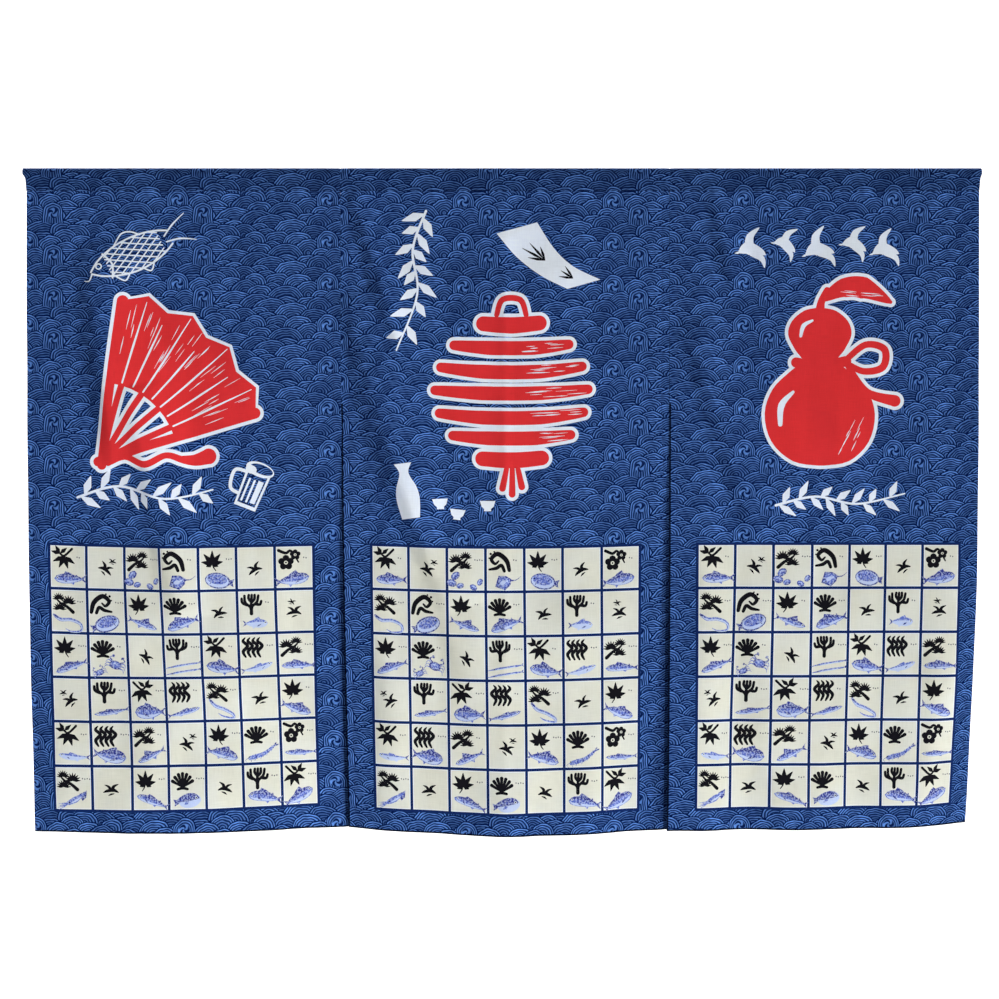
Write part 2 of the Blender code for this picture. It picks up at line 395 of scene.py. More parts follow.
def fish(length=34, depth=9, tail=8, span=5, bend=0, bars=0, fin=0.55, pale=False):
    """A fish with its fins, a dark back, a light belly and perhaps bars."""
    main = "sea_pale" if pale else "sea"
    back = "sea" if pale else "sea_dark"
    body = length - tail * 0.6
    end = body / 2
    stem = 0.09 * depth
    shapes = [("sea_dark", np.array([(end - 1, -stem), (end + tail * 0.6, -span),
                                     (end + tail * 0.25, 0), (end + tail * 0.6, span * 0.9),
                                     (end - 1, stem)]))]
    top = -depth / 2 + bend * 0.9
    foot = depth / 2 + bend * 0.9
    shapes.append((back, np.array([(-body * 0.18, top + 1), (-body * 0.1, top - depth * fin * 0.6),
                                   (body * 0.08, top - depth * fin * 0.25),
                                   (body * 0.22, top + depth * 0.16)])))
    shapes.append((main, np.array([(body * 0.05, foot - depth * 0.14),
                                   (body * 0.18, foot + depth * fin * 0.35),
                                   (body * 0.24, foot - depth * 0.18)])))
    shapes.append((main, body_line(body, depth, bend, -1, 1)))
    shapes.append((back, body_line(body, depth, bend, -1, -0.35)))
    shapes.append(("sea_pale", body_line(body * 0.9, depth, bend, 0.45, 0.92)))
    for bar in range(bars):
        place = -0.2 + 0.5 * bar / max(bars - 1, 1)
        x = place * body
        shapes.append(("sea_dark", brush([(x, -depth * 0.38 + bend), (x + 1, depth * 0.12 + bend)],
                                         (1.3, 0.5), 3)))
    shapes.append(("sea_dark", blade(-body * 0.2, bend * 0.6 + depth * 0.08, -30, depth * 0.6,
                                     depth * 0.2)))
    return shapes + eye(-body * 0.38, -depth * 0.1 + bend * 0.35, 1.1, 0.7)


def spot(ink, x, y, radius, across=None):
    """A small dot of eight corners."""
    return (ink, disc(x, y, radius, across, steps=8))


def eye(x, y, white, black):
    return [("white", disc(x, y, white, steps=10)), spot("black", x, y, black)]


def round_fish():
    """A flat, broad fish with a fringe of fins."""
    shapes = [("sea_dark", disc(0, 0, 13.5, 8.6)),
              ("sea_dark", np.array([(11, -1.5), (17.5, -4.6), (16, 0), (17.5, 4.2),
                                     (11, 1.5)])),
              ("sea_pale", disc(-0.3, 0.2, 12.2, 7)), ("sea", disc(-0.8, -1.2, 10.6, 5.2)),
              ("sea_dark", brush([(-8, -4), (-5.8, 0), (-7.6, 4.4)], (0.8, 0.8), 4)),
              spot("black", -9.4, -1.6, 0.8)]
    spots = ((-2, -2.4), (2.4, 1.6), (5.6, -1.6), (1.4, -4.2), (-2.4, 2.6))
    return shapes + [spot("sea_dark", x, y, 1.2, 0.8) for x, y in spots]


def ray():
    """A ray seen from above, with its thin tail."""
    shapes = [("sea_dark", brush([(5, 1), (12, 3.4), (18, 2)], (2, 0.9, 0.3), 5)),
              ("sea_dark", np.array([(-11, 0.5), (-3, -8.4), (4, -5), (8, 0.6),
                                     (4.4, 5.6), (-3.4, 8.4)])),
              ("sea", np.array([(-9, 0.4), (-2.8, -6.4), (3.2, -3.8), (6, 0.6), (3.4, 4.2),
                                (-3.2, 6.4)]))]
    return shapes + [("sea_pale", disc(-2, 0.2, 3.2, 2.2)), spot("sea_pale", 2.8, 0.4, 1.4, 1),
                     spot("black", -6.2, -1.4, 0.7), spot("black", -6.2, 1.8, 0.7)]


def eel(turn=1):
    """An eel that turns back on itself."""
    line = [(-16, -8), (-9, -3.4), (2, -3.4 * turn), (12, 1), (12.5, 8 * turn),
            (2, 9 * turn), (-4, 6 * turn)]
    return [("sea", brush(line, (2.6, 3.8, 3.6, 3.2, 2.4, 1.6, 0.4), 6)),
            ("sea_pale", brush([(x + 0.3, y + 0.8) for x, y in line],
                               (0.8, 1.4, 1.4, 1.2, 0.8, 0.4, 0.2), 6)),
            ("sea_dark", brush([(-16.5, -8.4), (-12, -5.4)], (2, 1.2), 3)),
            spot("black", -15.2, -7.6, 0.6)]


def crab(size=1):
    """A crab seen from above."""
    shapes = []
    for side in (-1, 1):
        for leg in range(3):
            y = -1.6 + 2.2 * leg
            line = [(side * 4, y), (side * 8.4, y - 2 + leg), (side * 10.4, y + 1.6 + leg)]
            shapes.append(("sea", brush(line, (1.2, 1, 0.4), 3)))
        shapes.append(("sea_dark", brush([(side * 3.6, -3), (side * 7.6, -6), (side * 5.6, -8.6)],
                                         (1.4, 1.4, 1), 4)))
        shapes.append(("sea_dark", disc(side * 4.8, -9, 1.9, 1.2, 50 * side, 10)))
    shapes += [("sea_dark", disc(0, 0, 6.4, 4.6)), ("sea", disc(0, -0.4, 4.8, 3.2)),
               spot("sea_pale", -1.4, -1.2, 1.4, 0.8)]
    return placed(shapes, 0, 0, 0, size)


def shells():
    """Five little clams."""
    shapes = []
    for x, y, angle, size in ((-11, -6, 40, 1.2), (-15, 1.6, -15, 1.25),
                              (-6, 4.4, 15, 0.95), (8, 6, -30, 0.95),
                              (15, 0.4, 60, 0.9)):
        clam = [("sea_dark", disc(0, 0, 4.4, 3.2, steps=12)),
                ("sea", disc(-0.2, -0.4, 3.6, 2.3, steps=12)),
                ("sea_pale", brush([(-2.4, -0.2), (0, -1.4), (2.4, -0.4)], (0.4, 0.9, 0.4), 3)),
                ("sea_dark", brush([(-2.2, 1), (0, 0.4), (2.2, 1)], (0.4, 0.6, 0.4), 3))]
        shapes += placed(clam, x, y, angle, size)
    return shapes


def needles():
    """Two long thin fish, one under the other."""
    shapes = []
    for x, y, angle in ((0, -3, 10), (0, 4, 10)):
        thin = [("sea", brush([(-19, 0), (-6, -0.4), (12, 0), (18, 0.2)],
                              (0.5, 2.4, 2, 0.6), 6)),
                ("sea_pale", brush([(-9, 0.3), (10, 0.5)], (0.8, 0.8), 6)),
                ("sea_dark", np.array([(16, 0), (19.5, -2), (18.6, 0.2), (19.5, 2)])),
                spot("black", -12, -0.3, 0.6)]
        shapes += placed(thin, x, y, angle)
    return shapes


def prawn():
    """A curled prawn with its feelers."""
    shapes = []
    arc = [(-12, 4.6), (-6, 3), (0, 1.4), (6, -2), (11, -6.4), (14, -8)]
    shapes.append(("sea", brush(arc, (4.4, 5, 4.2, 3.2, 2.2, 1.6), 5)))
    for index, width in ((1, 4.6), (2, 4), (3, 3.2), (4, 2.2)):
        x, y = arc[index]
        shapes.append(("sea_dark", brush([(x - 0.6, y - width / 2), (x + 1, y + width / 2)],
                                         (0.9, 0.9), 3)))
        shapes.append(("sea", brush([(x, y + 1.4), (x - 1.6, y + 4.6)], (0.8, 0.4), 3)))
    shapes += in_ink("sea_dark", [brush([(-12, 3.6), (-17, 6.6), (-15, 9.4)], (0.6, 0.4, 0.3), 5),
                                  brush([(-11, 5.4), (-11, 8.6)], (0.7, 0.4), 3),
                                  blade(13, -7.6, 20, 5, 2.2), blade(13, -7.6, 60, 4.4, 1.8)])
    return shapes + [spot("black", -13, 3.4, 0.7)]


def squid():
    """A squid, its arms to the lower left."""
    shapes = []
    for reach, drift in ((0, 0), (1.2, 2), (-1, 4), (0.6, 6)):
        shapes.append(("sea", brush([(-4, 2), (-10, 3 + drift * 0.6), (-16 + reach, 3.6 + drift)],
                                    (1.4, 1.1, 0.3), 5)))
    shapes += [("sea_dark", np.array([(6, -6.6), (14, -10.6), (13.4, -3.4), (9.4, 0.4)])),
               ("sea", brush([(-5, 2.6), (2, -1), (12, -7.6)], (4.6, 6.6, 1), 6)),
               ("sea_pale", brush([(-2, 2.4), (3.6, -0.6), (8, -3.8)], (1, 2, 0.6), 5)),
               spot("black", -4.4, 2, 0.8)]
    return shapes


def puffer():
    """A round puffer with spots."""
    shapes = [("sea_dark", np.array([(9, -1.2), (15, -4), (14, 0), (15, 3.6), (9, 1.2)])),
              ("sea_pale", disc(-2, 0.6, 12, 7.4)),
              ("sea_dark", body_line(26, 13.6, 0, -1, 0.1)),
              ("sea", blade(-1, 1.4, -20, 6, 3.4))] + eye(-9.4, -1.2, 1.4, 0.9)
    spots = ((-4, -3.6), (0, -2.4), (3.6, -3), (6.6, -1.2))
    return shapes + [spot("sea", x, y, 1, 0.8) for x, y in spots]


def bird(size=1):
    """A small black bird in flight."""
    return in_ink("black", [
        brush(np.array([(-9, 2.6), (-2, 0.6), (6, 3.4), (10.6, 6.4)]) * size,
              np.array((1.6, 5.2, 4.2, 1)) * size, 4),
        brush(np.array([(-1, 1), (-1.6, -4.4), (-7, -8.6)]) * size,
              np.array((5, 4.2, 1)) * size, 4),
        brush(np.array([(0.8, 1.4), (5, -3), (10.4, -4.4)]) * size,
              np.array((4.6, 3.4, 1)) * size, 4),
        brush(np.array([(-4, 5.4), (0, 7), (3, 9.4)]) * size,
              np.array((1, 2.6, 0.8)) * size, 4)])


# Small black ornaments of plants and water, about 30 mm square around their middle
def bamboo():
    leaves = [blade(2, -3, angle, 18, 7) for angle in (-156, -116, -74, -34)]
    leaves += [blade(-4, -7, angle, 13, 6) for angle in (165, 120, 40)]
    stem = [brush([(13, -14), (2, -4), (-4, -7)], (3.4, 3.2, 2.6), 5)]
    return in_ink("black", leaves + stem)


def plum():
    shapes = []
    for x, y, size in ((-4, 4.4, 1.15), (8.6, -6.5, 0.8)):
        for petal in range(5):
            angle = math.radians(90 + 72 * petal)
            shapes.append(("black", disc(x + 5.4 * size * math.cos(angle),
                                         y - 5.4 * size * math.sin(angle), 4.1 * size, steps=12)))
        shapes.append(("cream", disc(x, y, 2.4 * size, steps=10)))
        shapes.append(spot("black", x, y, 1.2 * size))
    twig = brush([(-14, -13), (-4, -9), (3, -12), (13, 4)], (4.4, 4, 3.6, 2), 5)
    return [("black", twig)] + shapes


def maple():
    leaves = [blade(0, 4, 90 + angle, length, 7)
              for angle, length in ((0, 19), (40, 18.5), (-40, 18.5), (80, 15.5), (-80, 15.5),
                                    (115, 9.5), (-115, 9.5))]
    return in_ink("black", leaves + [brush([(0, 3), (1.6, 9), (5, 14)], (2.2, 1.8, 1.2), 5)])


def wave_curl():
    strokes = [brush([(-14, 12), (-10, -2), (2, -11), (11, -4), (6, 3),
                      (1, -1)], (5, 6.6, 6.8, 5.4, 4, 2.4), 6),
               brush([(-7, 13), (-3, 5), (4, 9), (14, 11)], (4.4, 5, 5, 3), 6)]
    return in_ink("black", strokes + [disc(12, -11, 1.8, steps=10), disc(7, -14, 1.3, steps=8),
                                      disc(14, -5, 1.3, steps=8)])


def kelp():
    strands = []
    for x in (-10, -3.4, 3.4, 10):
        strands.append(brush([(x, 14), (x + 3.2, 6), (x - 3, -2), (x + 3, -9), (x, -14)],
                             (2.6, 4.8, 5, 4.4, 1.4), 5))
    return in_ink("black", strands)


def pine():
    shapes = []
    for x, y, size in ((-6.5, -3, 1), (7, -8, 0.8), (6, 6, 0.9)):
        for needle in range(9):
            shapes.append(blade(x, y + 3.6 * size, 2 + 22 * needle, 11.5 * size, 3.6 * size))
    twig = brush([(-13, 13), (-4, 5), (4, 1), (9, -4)], (5, 4.2, 3.4, 2.4), 5)
    return in_ink("black", shapes + [twig])


def coral():
    arms = [((0, 14), (-1, 5), (-8, -2), (-9, -12)),
            ((0, 14), (1, 4), (8, -3), (10, -12)),
            ((0, 12), (0, 0), (1, -13)), ((-6, 1), (-12, -2), (-13, -8)),
            ((6, 0), (12, 1), (14, -4)), ((0.6, -3), (-3.4, -8), (-3, -13)),
            ((0.6, -3), (4.6, -7), (5, -13))]
    return in_ink("black", [brush(arm, (5, 4, 3.6), 5) for arm in arms])


def scallop():
    ribs = [brush([(0, 10), (15.5 * math.sin(angle), 8 - 17 * math.cos(angle))], (1.6, 5), 5)
            for angle in np.radians((-66, -44, -22, 0, 22, 44, 66))]
    return in_ink("black", ribs + [brush([(-7, 12.5), (0, 11), (7, 12.5)], (3.6, 4.4, 3.6), 4)])


ORNAMENTS = (bamboo, wave_curl, plum, kelp, maple, coral, pine, scallop)

# The cells of the table, row by row: which animal, its tilt in degrees and whether its head is
# to the right. A cell with a bird has no ornament.
Cell = namedtuple("Cell", "animal tilt mirrored")
ANIMALS = {
    "tuna": lambda: fish(36, 11, 8, 5.4, fin=0.6),
    "bonito": lambda: fish(35, 9.6, 8, 5, bars=4),
    "mackerel": lambda: fish(37, 7.4, 7, 3.8, bend=-0.8, bars=5),
    "slender": lambda: fish(36, 5, 6, 3, bend=0.6, fin=0.5),
    "bream": lambda: fish(34, 13.6, 8, 5.6, fin=0.4, bars=3),
    "carp": lambda: fish(36, 10.4, 8, 5, bend=-1.6, bars=6),
    "glass_fish": lambda: fish(34, 6, 6, 3.4, bend=1.6, pale=True),
    "small_fry": lambda: fish(26, 8.6, 6, 3.6, pale=True),
    "flyer": lambda: fish(34, 6.4, 8, 4.4, fin=1.3),
    "round": round_fish,
    "ray": ray,
    "eel": eel,
    "eel_low": lambda: eel(0.6),
    "crabs": lambda: placed(crab(), 7, -3, -20) + placed(crab(0.7), -9, 5, 25),
    "shells": shells,
    "needles": needles,
    "prawn": prawn,
    "squid": squid,
    "puffer": puffer,
    "bird": bird,
    "birds": lambda: bird() + placed(bird(0.5), 6, -13, 30),
}
CELLS = tuple(tuple(Cell(*cell) for cell in row) for row in (
    (("bonito", 0, False), ("birds", -20, False), ("shells", 0, False),
     ("ray", 25, False), ("round", -10, False), ("bird", 15, True),
     ("tuna", 10, True)),
    (("eel", 0, False), ("round", 20, True), ("flyer", -20, True),
     ("carp", 20, False), ("bird", 30, False), ("small_fry", 0, True),
     ("birds", -10, True)),
    (("mackerel", 20, False), ("crabs", 0, False), ("bird", -35, False),
     ("needles", 0, False), ("tuna", -10, False), ("glass_fish", 15, True),
     ("mackerel", 0, False)),
    (("birds", 20, True), ("slender", 10, False), ("bream", 0, False),
     ("slender", 15, True), ("eel_low", -15, False), ("bird", 40, False),
     ("bonito", -20, True)),
    (("glass_fish", -5, False), ("bream", -10, True), ("flyer", 25, False),
     ("birds", -15, False), ("carp", -15, True), ("prawn", 0, False),
     ("slender", 0, False)),
    (("squid", 0, False), ("bird", -10, True), ("mackerel", -20, False),
     ("puffer", 10, True), ("bird", 0, False), ("carp", -10, False),
     ("tuna", 28, True)),
))
ORNAMENT_AT = (18.6, 19.4)
ORNAMENT_SCALE = 0.96
ANIMAL_AT = (25.5, 46.5)
ANIMAL_SCALE = 1.28
BIRD_AT = (25, 31)
BIRD_SCALE = 0.95
DOTS_AT = (38, 17)


def cell_paper(wide, high):
    """The blank paper of one cell, from its upper left corner."""
    half = TABLE_LINE / 2
    rim = half + CELL_RIM
    return [("white", box_outline(half, half, wide - half, high - half)),
            ("cream", box_outline(rim, rim, wide - rim, high - rim))]


def cell_figures(row, column):
    """What is printed on the paper of one cell."""
    cell = CELLS[row][column]
    animal = ANIMALS[cell.animal]()
    if cell.animal.startswith("bird"):
        return placed(animal, *BIRD_AT, cell.tilt, BIRD_SCALE, cell.mirrored)
    count = row * TABLE_COLUMNS + column
    ornament = ORNAMENTS[(count * 3 + row) % len(ORNAMENTS)]()
    shapes = placed(ornament, *ORNAMENT_AT, 0, ORNAMENT_SCALE, bool(count % 2))
    for dot in range(2 + count % 3):
        shapes.append(("grey", disc(DOTS_AT[0] + 3.2 * dot, DOTS_AT[1] + 0.6 * (dot % 2), 0.9, 1.1,
                                    steps=6)))
    return shapes + placed(animal, *ANIMAL_AT, cell.tilt, ANIMAL_SCALE, cell.mirrored)


def box_outline(left, top, right, foot):
    return np.array([(left, top), (right, top), (right, foot), (left, foot)])


# Large prints. Each group is drawn on one panel, in mm of its flat cloth.
OUTLINE = 4.6             # white edge round the red shapes


def edge_strokes(strokes):
    """The white edges that lie under red strokes."""
    return in_ink("white", [brush(points, [width + 2 * OUTLINE for width in widths], 7)
                            for points, widths in strokes])


def red_strokes(strokes):
    return in_ink("red", [brush(points, widths, 7) for points, widths in strokes])


def dry_streaks(seed, start, end, spread, count):
    """Fine light streaks where a brush ran dry."""
    draw = random.Random(seed)
    run = np.array(end) - np.array(start)
    length = float(np.linalg.norm(run))
    degrees = math.degrees(math.atan2(-run[1], run[0]))
    side = np.array((-run[1], run[0])) / length
    streaks = []
    for _ in range(count):
        share = draw.uniform(0, 0.7)
        x, y = np.array(start) + run * share + side * draw.uniform(-spread, spread)
        streaks.append(blade(x, y, degrees, draw.uniform(0.15, 0.35) * length,
                             draw.uniform(0.7, 1.5)))
    return in_ink("white", streaks)


def folding_fan():
    """A folding fan that opens to the upper right, with its cord."""
    pivot = np.array((102, 396))
    folds = np.radians(np.linspace(82, 17, 9))
    ways = np.stack((np.cos(folds), -np.sin(folds)), axis=1)
    reach = np.where(np.arange(len(ways)) % 2 == 0, 218, 231)[:, None]
    leaf = np.concatenate((pivot + ways * reach, (pivot + ways * 104)[::-1]))
    ribs = [([pivot + way * 10, pivot + way * 108], (8, 8.5)) for way in ways[1:-1:2]]
    guards = [([pivot - way * 6, pivot + way * 112, pivot + way * 217], (13, 12, 15))
              for way in ways[::len(ways) - 1]]
    cord = [([pivot + (8, 4), pivot + (32, -5), pivot + (60, 5), pivot + (88, -7),
              pivot + (108, -2)], (7, 8, 9, 8, 9)),
            ([pivot + (108, -2), pivot + (126, -1), pivot + (144, -6)], (9, 15, 21))]
    strokes = ribs + guards + cord
    shapes = edge_strokes(strokes) + [("white", grown(leaf, OUTLINE)), ("red", leaf)]
    shapes += red_strokes(strokes)
    creases = [brush([pivot + way * 108, pivot + way * 162, pivot + way * out], (2.2, 2.8, 1), 5)
               for way, out in zip(ways[1:-1], (222, 200, 226, 193, 227, 204, 224))]
    shapes += in_ink("white", creases)
    for number, way in enumerate((ways[:-1] + ways[1:]) / 2):
        shapes += dry_streaks(20 + number, pivot + way * 222, pivot + way * 140, 9, 5)
    return shapes


def lantern():
    """A barrel-shaped paper lantern with its caps, loop and tassel."""
    middle = 232
    strokes = [([(middle - 20, 196), (middle - 12, 176), (middle + 12, 176),
                 (middle + 20, 196)], (7, 8, 8, 7)),
               ([(middle - 38, 208), (middle, 210), (middle + 38, 207)], (20, 22, 20)),
               ([(middle - 40, 390), (middle, 392), (middle + 40, 389)], (20, 22, 20))]
    ribs = ((237, 78), (267, 96), (298, 104), (329, 98), (359, 80))
    for rib, (y, half) in enumerate(ribs):
        lift = 5 if rib % 2 else 3
        strokes.append(([(middle - half, y), (middle - half * 0.4, y + lift),
                         (middle + half * 0.4, y + lift),
                         (middle + half, y - 1)], (13, 19, 19, 13)))
    for x, end in ((-13, 430), (0, 438), (13, 428)):
        strokes.append(([(middle + x * 0.6, 404), (middle + x, end)], (7, 9)))
    shapes = edge_strokes(strokes) + red_strokes(strokes)
    for number, (y, half) in enumerate(ribs):
        shapes += dry_streaks(40 + number, (middle + half, y), (middle + 10, y + 4), 6, 9)
    return shapes


def grown(outline, distance):
    """A closed outline moved outwards."""
    run = np.roll(outline, -1, axis=0) - np.roll(outline, 1, axis=0)
    run /= np.maximum(np.linalg.norm(run, axis=1, keepdims=True), 1e-9)
    return outline + np.stack((run[:, 1], -run[:, 0]), axis=1) * distance


def gourd():
    """A bottle gourd with its stalk, leaf and waist cord."""
    side = [(6, 190), (22, 194), (38, 208), (43, 226), (34, 246), (24, 262),
            (40, 276), (64, 300), (75, 334), (66, 372), (38, 398), (4, 404)]
    right = smooth_line(side, 4)
    body = np.concatenate((right, (right * (-1, 1))[::-1])) + (204, 0)
    strokes = [([(214, 166), (206, 182), (204, 198)], (9, 10, 14)),
               ([(208, 178), (236, 163), (264, 163), (300, 182)], (8, 26, 30, 5)),
               ([(172, 264), (204, 270), (240, 262)], (14, 16, 14)),
               ([(238, 262), (266, 240), (292, 246), (290, 270), (264, 276),
                 (242, 266)], (8, 9, 10, 10, 9, 8)),
               ([(242, 268), (268, 304), (306, 316)], (8, 10, 16))]
    shapes = [("white", grown(body, OUTLINE))] + edge_strokes(strokes)
    shapes += [("red", body)] + red_strokes(strokes)
    shine = [([(150, 348), (152, 322), (168, 304)], (6, 9, 4)),
             ([(178, 228), (182, 214), (194, 207)], (4, 6, 3))]
    shapes += in_ink("white", [brush(points, widths, 6) for points, widths in shine])
    shapes += dry_streaks(5, (232, 392), (262, 336), 9, 9)
    return shapes + dry_streaks(6, (290, 176), (224, 170), 7, 7)


def line_fish():
    """A fish in white lines, its scales a lattice."""
    def half_depth(x):
        return 22 * (1 - ((x - 8) / 62) ** 2) ** 0.8

    strokes = []
    for low in range(-60, 60, 9):
        for slope in (0.55, -0.55):
            xs = np.arange(-30, 46.1, 3)
            ys = low + slope * (xs - 8)
            kept = np.abs(ys) < half_depth(xs)
            if kept.sum() > 2:
                line = np.stack((xs[kept], ys[kept]), axis=1)
                strokes.append(brush([line[0], line[len(line) // 2], line[-1]], (1.7, 1.7), 4))
    xs = np.linspace(-53, 58, 12)
    for side in (-1, 1):
        strokes.append(brush(np.stack((xs, side * half_depth(xs)), axis=1), (2.4, 2.4), 3))
    strokes += [brush([(-30, -17), (-24, 0), (-31, 17)], (2.4, 2.4), 5),
                brush([(52, -4), (68, -13), (88, -20)], (2, 2.4, 1), 5),
                brush([(52, 4), (70, 8), (88, 18)], (2, 2.4, 1), 5),
                brush([(-12, -21), (2, -31), (14, -29), (24, -20)], (2, 2), 5),
                brush([(10, 22), (18, 29), (27, 19)], (2, 2), 5),
                brush([(-26, 18), (-18, 27), (-10, 22)], (2, 2), 5),
                brush([(-53, 2), (-60, 8), (-66, 5)], (2, 1.8, 1), 5)]
    pupil = [("white", disc(-41, -4, 4.4, steps=14)), ("ground", disc(-41, -4, 2.6, steps=12))]
    return placed(in_ink("white", strokes) + pupil, 140, 120, 26, 1.04)


def mug():
    """A full glass mug leaning to one side."""
    shapes = [("white", brush([(-17, -18), (-33, -14), (-30, 10), (-15, 14)],
                              (4.6, 5, 5, 4.6), 6)),
              ("white", np.array([(-18, -26), (18, -26), (16, 30), (-16, 30)])),
              ("ground", np.array([(-14.5, -24), (14.5, -24), (13, 25), (-13, 25)])),
              ("white", disc(0, -27, 21, 10, steps=22)),
              ("ground", disc(2, -28, 17, 6.6, steps=20)),
              ("white", disc(-12, -23, 8, 6, steps=14))]
    shapes += in_ink("white", [brush([(x, -10), (x, 21)], (3, 3), 4) for x in (-8.5, -1)])
    shapes.append(("white", np.array([(4, -12), (12, -12), (11, 21), (4, 21)])))
    return placed(shapes, 306, 432, -22, 0.95)


def bottle_and_cups():
    """A sake bottle and three little cups."""
    bottle = smooth_line([(-12, -38), (-7, -29), (-7, -21), (-14, -5), (-16, 12),
                          (-12.5, 37)], 5)
    other = bottle[::-1] * (-1, 1)
    shapes = placed([("white", np.concatenate((bottle, other)))], 90, 436, 9, 1)
    for x, y, turn in ((135, 452, 4), (158, 466, -6), (199, 454, 0)):
        cup = [("white", np.array([(-10.5, -7), (10.5, -7), (8, 1), (4.5, 4), (5, 7),
                                   (-5, 7), (-4.5, 4), (-8, 1)]))]
        shapes += placed(cup, x, y, turn, 1)
    return shapes


def paper_slip():
    """A blank slip of paper with a few blades of grass on it."""
    left = smooth_line([(212, 88), (238, 118), (272, 144), (308, 162)], 5)
    right = smooth_line([(353, 150), (316, 132), (290, 108), (267, 73)], 5)
    grass = [blade(278, 124, angle, length, 3.6)
             for angle, length in ((152, 36), (132, 32), (170, 24), (110, 20))]
    grass += [blade(316, 148, angle, 20, 3.2) for angle in (124, 148, 172)]
    return [("white", np.concatenate((left, right)))] + in_ink("black", grass)


def leaf_spray(points, leaves, length, width, lean=50):
    """A curved twig with leaves set in turn on its two sides."""
    line = smooth_line(points, 8)
    strokes = [brush(points, (3.4, 3.2, 2), 8)]
    for leaf in range(leaves):
        place = int((leaf + 0.7) / (leaves + 0.4) * (len(line) - 2))
        run = line[place + 1] - line[place]
        degrees = math.degrees(math.atan2(-run[1], run[0]))
        side = lean if leaf % 2 else -lean
        share = 1 - 0.25 * (leaf % 3) / 2
        strokes.append(blade(*line[place], degrees + side, length * share, width))
    return in_ink("white", strokes)


def white_birds(places):
    """A flight of plump white birds."""
    shapes = []
    for x, y, size, turn in places:
        one = [brush([(-9, 0), (-2, -2), (7, 2), (11, 5)], (3, 11, 6, 1), 5),
               brush([(-1, -2), (1, -11), (9, -17)], (8, 6, 0.8), 5),
               brush([(1, 2), (8, 8), (9, 15)], (6, 4.6, 0.8), 5),
               blade(-9, 0.6, 185, 4.6, 1.8)]
        shapes += placed(in_ink("white", one), x, y, turn, size)
    return shapes


def prints_of(name):
    """The large prints of one panel, as groups of shapes."""
    if name == "panel_left":
        return [line_fish(), folding_fan(), mug(),
                leaf_spray([(68, 446), (124, 430), (190, 446), (252, 434)], 15, 31, 11)]
    if name == "panel_centre":
        return [leaf_spray([(116, 58), (98, 110), (104, 170), (76, 246)], 15, 33, 12),
                paper_slip(), lantern(), bottle_and_cups()]
    return [white_birds(((110, 112, 1.7, 8), (156, 104, 1.4, -12), (202, 112, 1.75, 16),
                         (250, 104, 1.5, -4), (292, 112, 1.6, 12))),
            gourd(),
            leaf_spray([(142, 458), (196, 446), (252, 456), (318, 442)], 14, 28, 10)]


# Cutting the cloth's mesh along the prints
def grid_lines(breaks, step):
    """Lines through every break, no more than a step apart."""
    lines = [breaks[0]]
    for low, high in zip(breaks, breaks[1:]):
        count = max(1, math.ceil((high - low) / step - 1e-6))
        lines += [low + (high - low) * (part + 1) / count for part in range(count)]
    return lines


def covered(points, outline):
    """Which of the points lie inside an outline."""
    x = points[:, 0:1]
    y = points[:, 1:2]
    x0 = outline[:, 0]
    y0 = outline[:, 1]
    x1 = np.roll(x0, -1)
    y1 = np.roll(y0, -1)
    side = (x1 - x0) * (y - y0) - (x - x0) * (y1 - y0)
    rising = (y0 <= y) & (y1 > y) & (side > 0.0)
    falling = (y0 > y) & (y1 <= y) & (side < 0.0)
    return rising.sum(axis=1) != falling.sum(axis=1)


def cut_block(across, down, shapes, base, slack=0.09):
    """Triangles of one block of grid, cut along the outlines of its shapes, and their inks."""
    points = [Vector((u, v)) for v in down for u in across]
    wide = len(across)
    edges = []
    for j in range(len(down)):
        for i in range(wide):
            here = j * wide + i
            if i + 1 < wide:
                edges.append((here, here + 1))
            if j + 1 < len(down):
                edges.append((here, here + wide))
    for _, outline in shapes:
        outline = thinned(outline, slack)
        first = len(points)
        points += [Vector((u, v)) for u, v in outline]
        count = len(outline)
        edges += [(first + k, first + (k + 1) % count) for k in range(count)]
    places, _, faces, *_ = delaunay_2d_cdt(points, edges, [], 0, 1e-4)
    places = np.array([(p.x, p.y) for p in places])
    faces = np.array(faces)
    middles = places[faces].mean(axis=1)
    inks = np.full(len(faces), INK[base])
    for ink, outline in shapes:
        in_box = (middles > outline.min(axis=0)) & (middles < outline.max(axis=0))
        near = np.nonzero(in_box.all(axis=1))[0]
        inks[near[covered(middles[near], outline)]] = INK[ink]
    return places, faces, inks


def merged_blocks(groups, across, down):
    """Grid ranges that hold the groups of shapes, joined where they overlap."""
    blocks = []
    for shapes in groups:
        everything = np.concatenate([outline for _, outline in shapes])
        low = everything.min(axis=0) - 0.5
        high = everything.max(axis=0) + 0.5
        spans = [max(i for i, u in enumerate(across) if u <= low[0]),
                 min(i for i, u in enumerate(across) if u >= high[0]),
                 max(j for j, v in enumerate(down) if v <= low[1]),
                 min(j for j, v in enumerate(down) if v >= high[1])]
        block = (spans, list(shapes))
        again = True
        while again:
            again = False
            for other in blocks:
                a, b = block[0], other[0]
                if a[0] < b[1] and b[0] < a[1] and a[2] < b[3] and b[2] < a[3]:
                    joined = [min(a[0], b[0]), max(a[1], b[1]), min(a[2], b[2]), max(a[3], b[3])]
                    blocks.remove(other)
                    block = (joined, other[1] + block[1])
                    again = True
                    break
        blocks.append(block)
    return blocks


